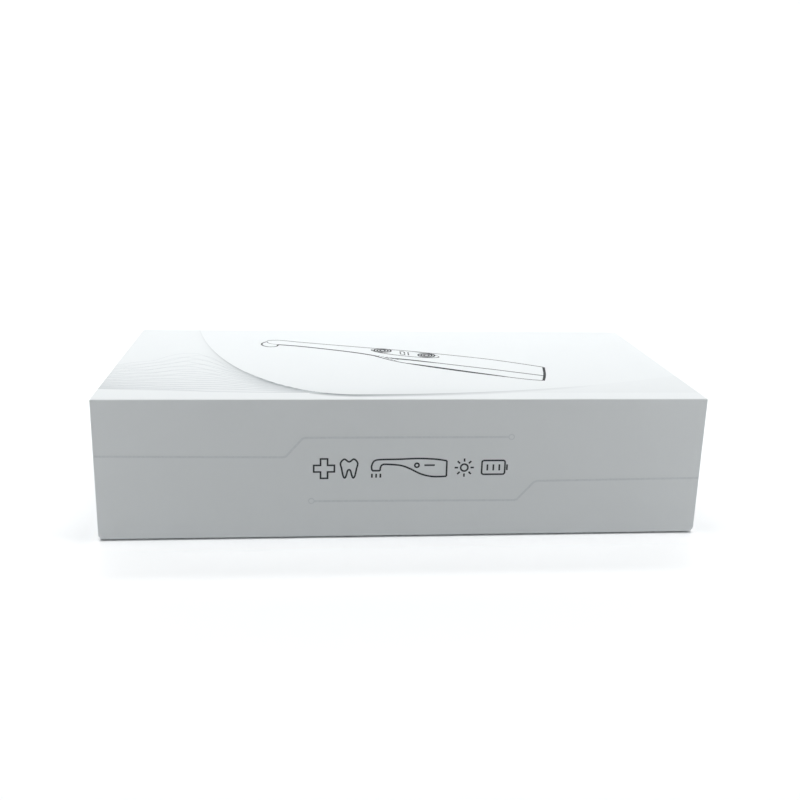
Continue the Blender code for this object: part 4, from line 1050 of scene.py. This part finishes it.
def cut_tray(tray):
    """Cuts the openings for the light, two fingers, the dock, the shield, its collar and the adapter."""
    low, high, *_ = extent("foam_tray")
    below, above = low.z - 5 * MM, high.z + 5 * MM
    _, _, dock, dock_half = extent("dock_shell")
    shield_low, _, shield, shield_half = extent("light_shield")
    collar_low, _, _, collar_half = extent("shield_collar")
    plan = prism(light_plan(1.4 * MM), LIGHT_TIP.z + LIGHT_BOTTOM - GAP, above)
    handle = solid("handle_cavity", plan)
    carve(handle, "INTERSECT", box((LIGHT_TIP.x + SPLIT_S, 0, 0), (1, 1, 1)))
    notch = rounded_rectangle(15 * MM, 25 * MM, 10 * MM, (LIGHT_TIP.x + 160 * MM, LIGHT_TIP.y))
    cuts = [
        prism(light_plan(1.0 * MM), extent("lens_ring")[0].z - GAP, above),
        prism(notch, 30 * MM, above),
        cylinder(dock_half.x + MM, below, above, dock.xy),
        prism(oval(shield_half.x + MM, shield_half.y + MM, 2.0, shield.xy), shield_low.z - GAP, above),
        cylinder(collar_half.x + MM, collar_low.z - 2 * GAP, above, shield.xy),
        prism(rounded_rectangle(36 * MM, 30 * MM, 6 * MM, (0, dock.y)), below, above),
        handle,
    ]
    carve(tray, "DIFFERENCE", *cuts)


def make_foam():
    """The sheet under the tray, the tray and the pad under the lid's top."""
    foam = packing_foam()
    for name, body, edge, segments, angle in (
        ("foam_sheet", "carton", 0.7 * MM, 3, 40),
        ("foam_tray", "carton", 0.7 * MM, 2, 50),
        ("lid_pad", "lid", 1.2 * MM, 3, 40),
    ):
        block = piece(f"{name}_skin", box(*extent(name)[:2]), foam, body, "grey_foam", name)
        if name == "foam_tray":
            cut_tray(block)
        round_edges(block, edge, segments, angle)


# ======== dock and shield
def make_dock(surface):
    """The dock: one turned shell whose top rolls over into the socket."""
    dock_low, dock_high, centre, half = extent("dock_shell")
    radius, low, top = half.x, dock_low.z, dock_high.z
    floor = top - 20 * MM
    half_width, light_top, light_bottom, power = body_at(CASING_END)
    clearance = 0.6 * MM
    half_x, half_y = (light_top - light_bottom) / 2 + clearance, half_width + clearance
    inner, foot, shoulder, lip = radius - 2 * MM, 0.9 * MM, 8 * MM, 1.6 * MM

    outside = [(0, floor - 2 * MM), (inner, floor - 2 * MM), (inner, low), (radius - foot, low)]
    outside += [(radius - foot * (1 - s), low + foot * (1 - c)) for c, s in arc(1, 0, 90, 4)]
    outside += [(radius, low + 2 * MM), (radius, top - 10 * MM)]
    outside += [(radius - shoulder * (1 - c), top - 0.8 * shoulder * (1 - s)) for c, s in arc(1, 0, 90, 12)]
    socket = [(2.6 * MM, top)]
    socket += [(lip * (1 - s), top - lip * (1 - c)) for c, s in arc(1, 0, 90, 6)]
    socket += [(0, top - 3 * MM), (0, floor + 0.5 * MM), (-0.5 * MM, floor)]
    rings = [circle(r, z, centre.xy) for r, z in outside]
    rings += [at_height(oval(half_x + grow, half_y + grow, power, centre.xy), z) for grow, z in socket]
    rings += [circle(r, floor, centre.xy) for r in (2 * MM, 0)]
    shell = piece("dock_shell_moulding", loft(rings), surface, "carton", "white_casing", "dock_shell")

    cuts = []
    for side in (-6 * MM, 6 * MM):
        cuts.append(cylinder(1.7 * MM, floor - 5 * MM, floor + 1 * MM, (centre.x, centre.y + side), 32))
    spare = Vector((GAP, 3 * MM, GAP))
    for node in ("dock_inlet", "dock_lamp"):
        _, _, middle, reach = extent(node)
        cuts.append(box(middle - reach - spare, middle + reach + spare))
    carve(shell, "DIFFERENCE", *cuts, angle=32)


def make_shield(surface):
    """The eye shield: an oval plate with a rounded edge and a round hole."""
    low, high, centre, half = extent("light_shield")
    hole, edge, chamfer, count = 8.7 * MM, 0.9 * MM, 0.25 * MM, 128
    rings = []
    for c, s in arc(1, -90, 90, 8):
        pull = edge * (1 - c)
        outline = oval(half.x - pull, half.y - pull, 2.0, centre.xy, count)
        rings.append(at_height(outline, centre.z + half.z * s))
    for pull, z in ((chamfer, high.z), (0, high.z - chamfer), (0, low.z + chamfer), (chamfer, low.z)):
        rings.append(circle(hole + pull, z, centre.xy, count))
    piece("light_shield_plate", loft(rings, closed=True), surface, "carton", "shield_orange", "light_shield")


def make_collar(surface):
    """The rubber collar under the shield, with three grooves and a neck through the shield's hole."""
    collar_low, collar_high, _, half = extent("shield_collar")
    shield_low, _, centre, _ = extent("light_shield")
    low, high, plate = collar_low.z, collar_high.z, shield_low.z - GAP
    bore, outer = 7.5 * MM, half.x
    neck, chamfer, rim, groove = bore + 0.9 * MM, 0.3 * MM, 0.4 * MM, 0.3 * MM
    profile = [(bore, low + rim), (bore + rim, low), (outer - 0.6 * MM, low), (outer, low + 0.6 * MM)]
    for k in range(3):
        z = low + (1.6 + 1.2 * k) * MM
        bottom = outer - groove
        profile += [(outer, z), (bottom, z + 0.3 * MM), (bottom, z + 0.5 * MM), (outer, z + 0.8 * MM)]
    profile += [(outer, plate - chamfer), (outer - chamfer, plate), (neck, plate)]
    profile += [(neck, high - chamfer), (neck - chamfer, high)]
    profile += [(bore + 0.2 * MM, high), (bore, high - 0.2 * MM)]
    collar = turned(profile, centre.xy, closed=True)
    piece("shield_collar_moulding", collar, surface, "carton", "seal_rubber", "shield_collar")


# ======== CAD pieces that stay
def paint(surface, *names):
    for name in names:
        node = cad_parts[name]
        node.data.materials.clear()
        node.data.materials.append(surface.material)
        smooth(node)


# ======== studio
FLOOR_GLOW = 0.155
PAINTED_CONTACT_LIGHT = 0.21  # painted light: extra floor glow that evens out the floor's shade in front of the carton
PAINTED_LIGHT_REACH = 16 * MM


def floor_glow_with_painted_light(s):
    """The sweep's own light: none under the carton, more close in front of it, where painted light evens out
    the carton's shadow on the floor.
    """
    x, y, _ = s.axes()
    past_end = x.math("ABSOLUTE") - LID_HIGH.x
    past_side = y.math("ABSOLUTE") - LID_HIGH.y
    in_front = past_end.ramp(-10 * MM, 10 * MM, 1.0, 0.0) * y.math("LESS_THAN", 0.0)
    # painted light: a strip of extra glow just in front of the carton, in place of its shadow on the floor
    glow = past_side.ramp(0.0, PAINTED_LIGHT_REACH, PAINTED_CONTACT_LIGHT, 0.0) * in_front + FLOOR_GLOW
    return glow * past_end.most(past_side).ramp(-1.2 * MM, 0.3 * MM)


def make_floor():
    """A white sweep that glows a little, and more in front of the carton, where the glow is painted light: a
    level sheet that bends up behind the carton.
    """
    half_width, front, bend, back, height = 3.0, -3.0, 1.4, 2.2, 2.4
    radius = back - bend
    profile = [(front, 0.0), *arc(radius, -90, 0, 16, (bend, radius)), (back, height)]
    bm = bmesh.new()
    left, right = ([bm.verts.new((x, y, z)) for y, z in profile] for x in (-half_width, half_width))
    for k in range(len(profile) - 1):
        bm.faces.new((left[k], right[k], right[k + 1], left[k + 1]))
    floor = solid("studio_sweep", bm)
    floor.data.shade_smooth()
    s = Surface("studio_paper", (0.838, 0.848, 0.853)).roughen(0.18, 0.22, 3).set("Specular IOR Level", 0.1)
    s.set("Emission Color", (0.96, 0.98, 1.0)).set("Emission Strength", floor_glow_with_painted_light(s))
    floor.data.materials.append(s.material)


def make_lights():
    """A wide soft light overhead, one for the backdrop and weak ones at the sides."""
    for name, place, size, aim, watts in (
        ("overhead", (0.0, -0.06, 2.2), (3.2, 0.9), (0.0, -0.06, 0.0), 50.3),
        ("backdrop", (0.0, 1.0, 1.9), (3.6, 0.6), (0.0, 2.2, 0.6), 40.0),
        ("left", (-0.36, -0.2, 0.12), (0.1, 0.1), (-0.1, -0.05, 0.04), 0.068),
        ("right", (0.36, -0.2, 0.12), (0.1, 0.1), (0.1, -0.05, 0.04), 0.105),
    ):
        data = bpy.data.lights.new(name, "AREA")
        configure(data, shape="RECTANGLE", size=size[0], size_y=size[1], energy=watts)
        towards = (Vector(aim) - Vector(place)).to_track_quat("-Z", "Y").to_euler()
        configure(new_object(name, data), location=place, rotation_euler=towards)

    world = bpy.data.worlds.new("soft_white")
    world.use_nodes = True
    sockets = world.node_tree.nodes["Background"].inputs
    sockets["Color"].default_value = (0.95, 0.98, 1.0, 1.0)
    sockets["Strength"].default_value = 0.012
    bpy.context.scene.world = world
    bpy.context.scene.view_settings.view_transform = "Standard"


def make_camera():
    data = bpy.data.cameras.new("camera")
    configure(data, lens=43.5, sensor_width=36.0)
    camera = new_object("camera", data)
    camera.location = (-0.0429, -0.4872, 0.1895)
    camera.rotation_euler = [radians(a) for a in (73.64, -1.40, -5.02)]
    bpy.context.scene.camera = camera


# ======== assembly
make_camera()
make_floor()
make_lights()
make_carton()
make_waves()
make_light_drawing()
make_front_lines()
make_icons()
make_foam()
make_casings()
make_panel()
make_buttons()

aluminium = metal("turned_aluminium", (0.80, 0.81, 0.82), 0.28, (1, 1, 12))
steel = metal("plain_steel", (0.60, 0.60, 0.61), 0.32, (1, 14, 1))
gold = metal("gilt_contact", (0.86, 0.64, 0.28), 0.2)
dark = textured_plastic("dark_plastic", (0.035, 0.038, 0.042))
black_rubber = rubber()
make_head_ring(aluminium)
make_rear_cap(dark)
make_dock(casing_plastic())
make_shield(clear("orange_acrylic", (1.0, 0.30, 0.02), 0.04, 0.5))
make_collar(black_rubber)
flange = [(2.3 * MM, 0), (2.3 * MM, 3.1 * MM)]
for side in ("left", "right"):
    make_contact(f"charge_contact_{side}", "light", f"charge_pin_{side}", 0, flange, gold)
    make_contact(f"dock_contact_{side}", "carton", f"dock_pin_{side}", 2, [], gold)
paint(aluminium, "reflector", "led_board", "heat_bar")
paint(steel, "power_switch", "mode_switch", "battery_spring", "casing_screw_1", "casing_screw_2")
paint(gold, "battery_contact")
paint(dark, "buzzer", "chassis", "front_cell_frame", "rear_cell_frame", "dock_floor", "dock_inlet")
paint(black_rubber, "lens_seal", "cap_seal", "dock_foot_ring", "led_lead_negative")
paint(circuit_board(), "main_board", "dock_board")
paint(clear("lens_glass", (0.93, 0.97, 1.0), 0.03, 0.95, 1.52), "lens")
paint(lamp("phosphor", (0.92, 0.72, 0.12), 0.05), "led_emitter")
paint(textured_plastic("red_insulation", (0.50, 0.03, 0.02), 0.4), "led_lead_positive")
paint(textured_plastic("blue_cell_wrap", (0.03, 0.14, 0.36), 0.3), "battery_cell")
paint(panel_film(), "display_module")
paint(lamp("green_lamp", (0.10, 0.60, 0.22), 0.3), "dock_lamp")
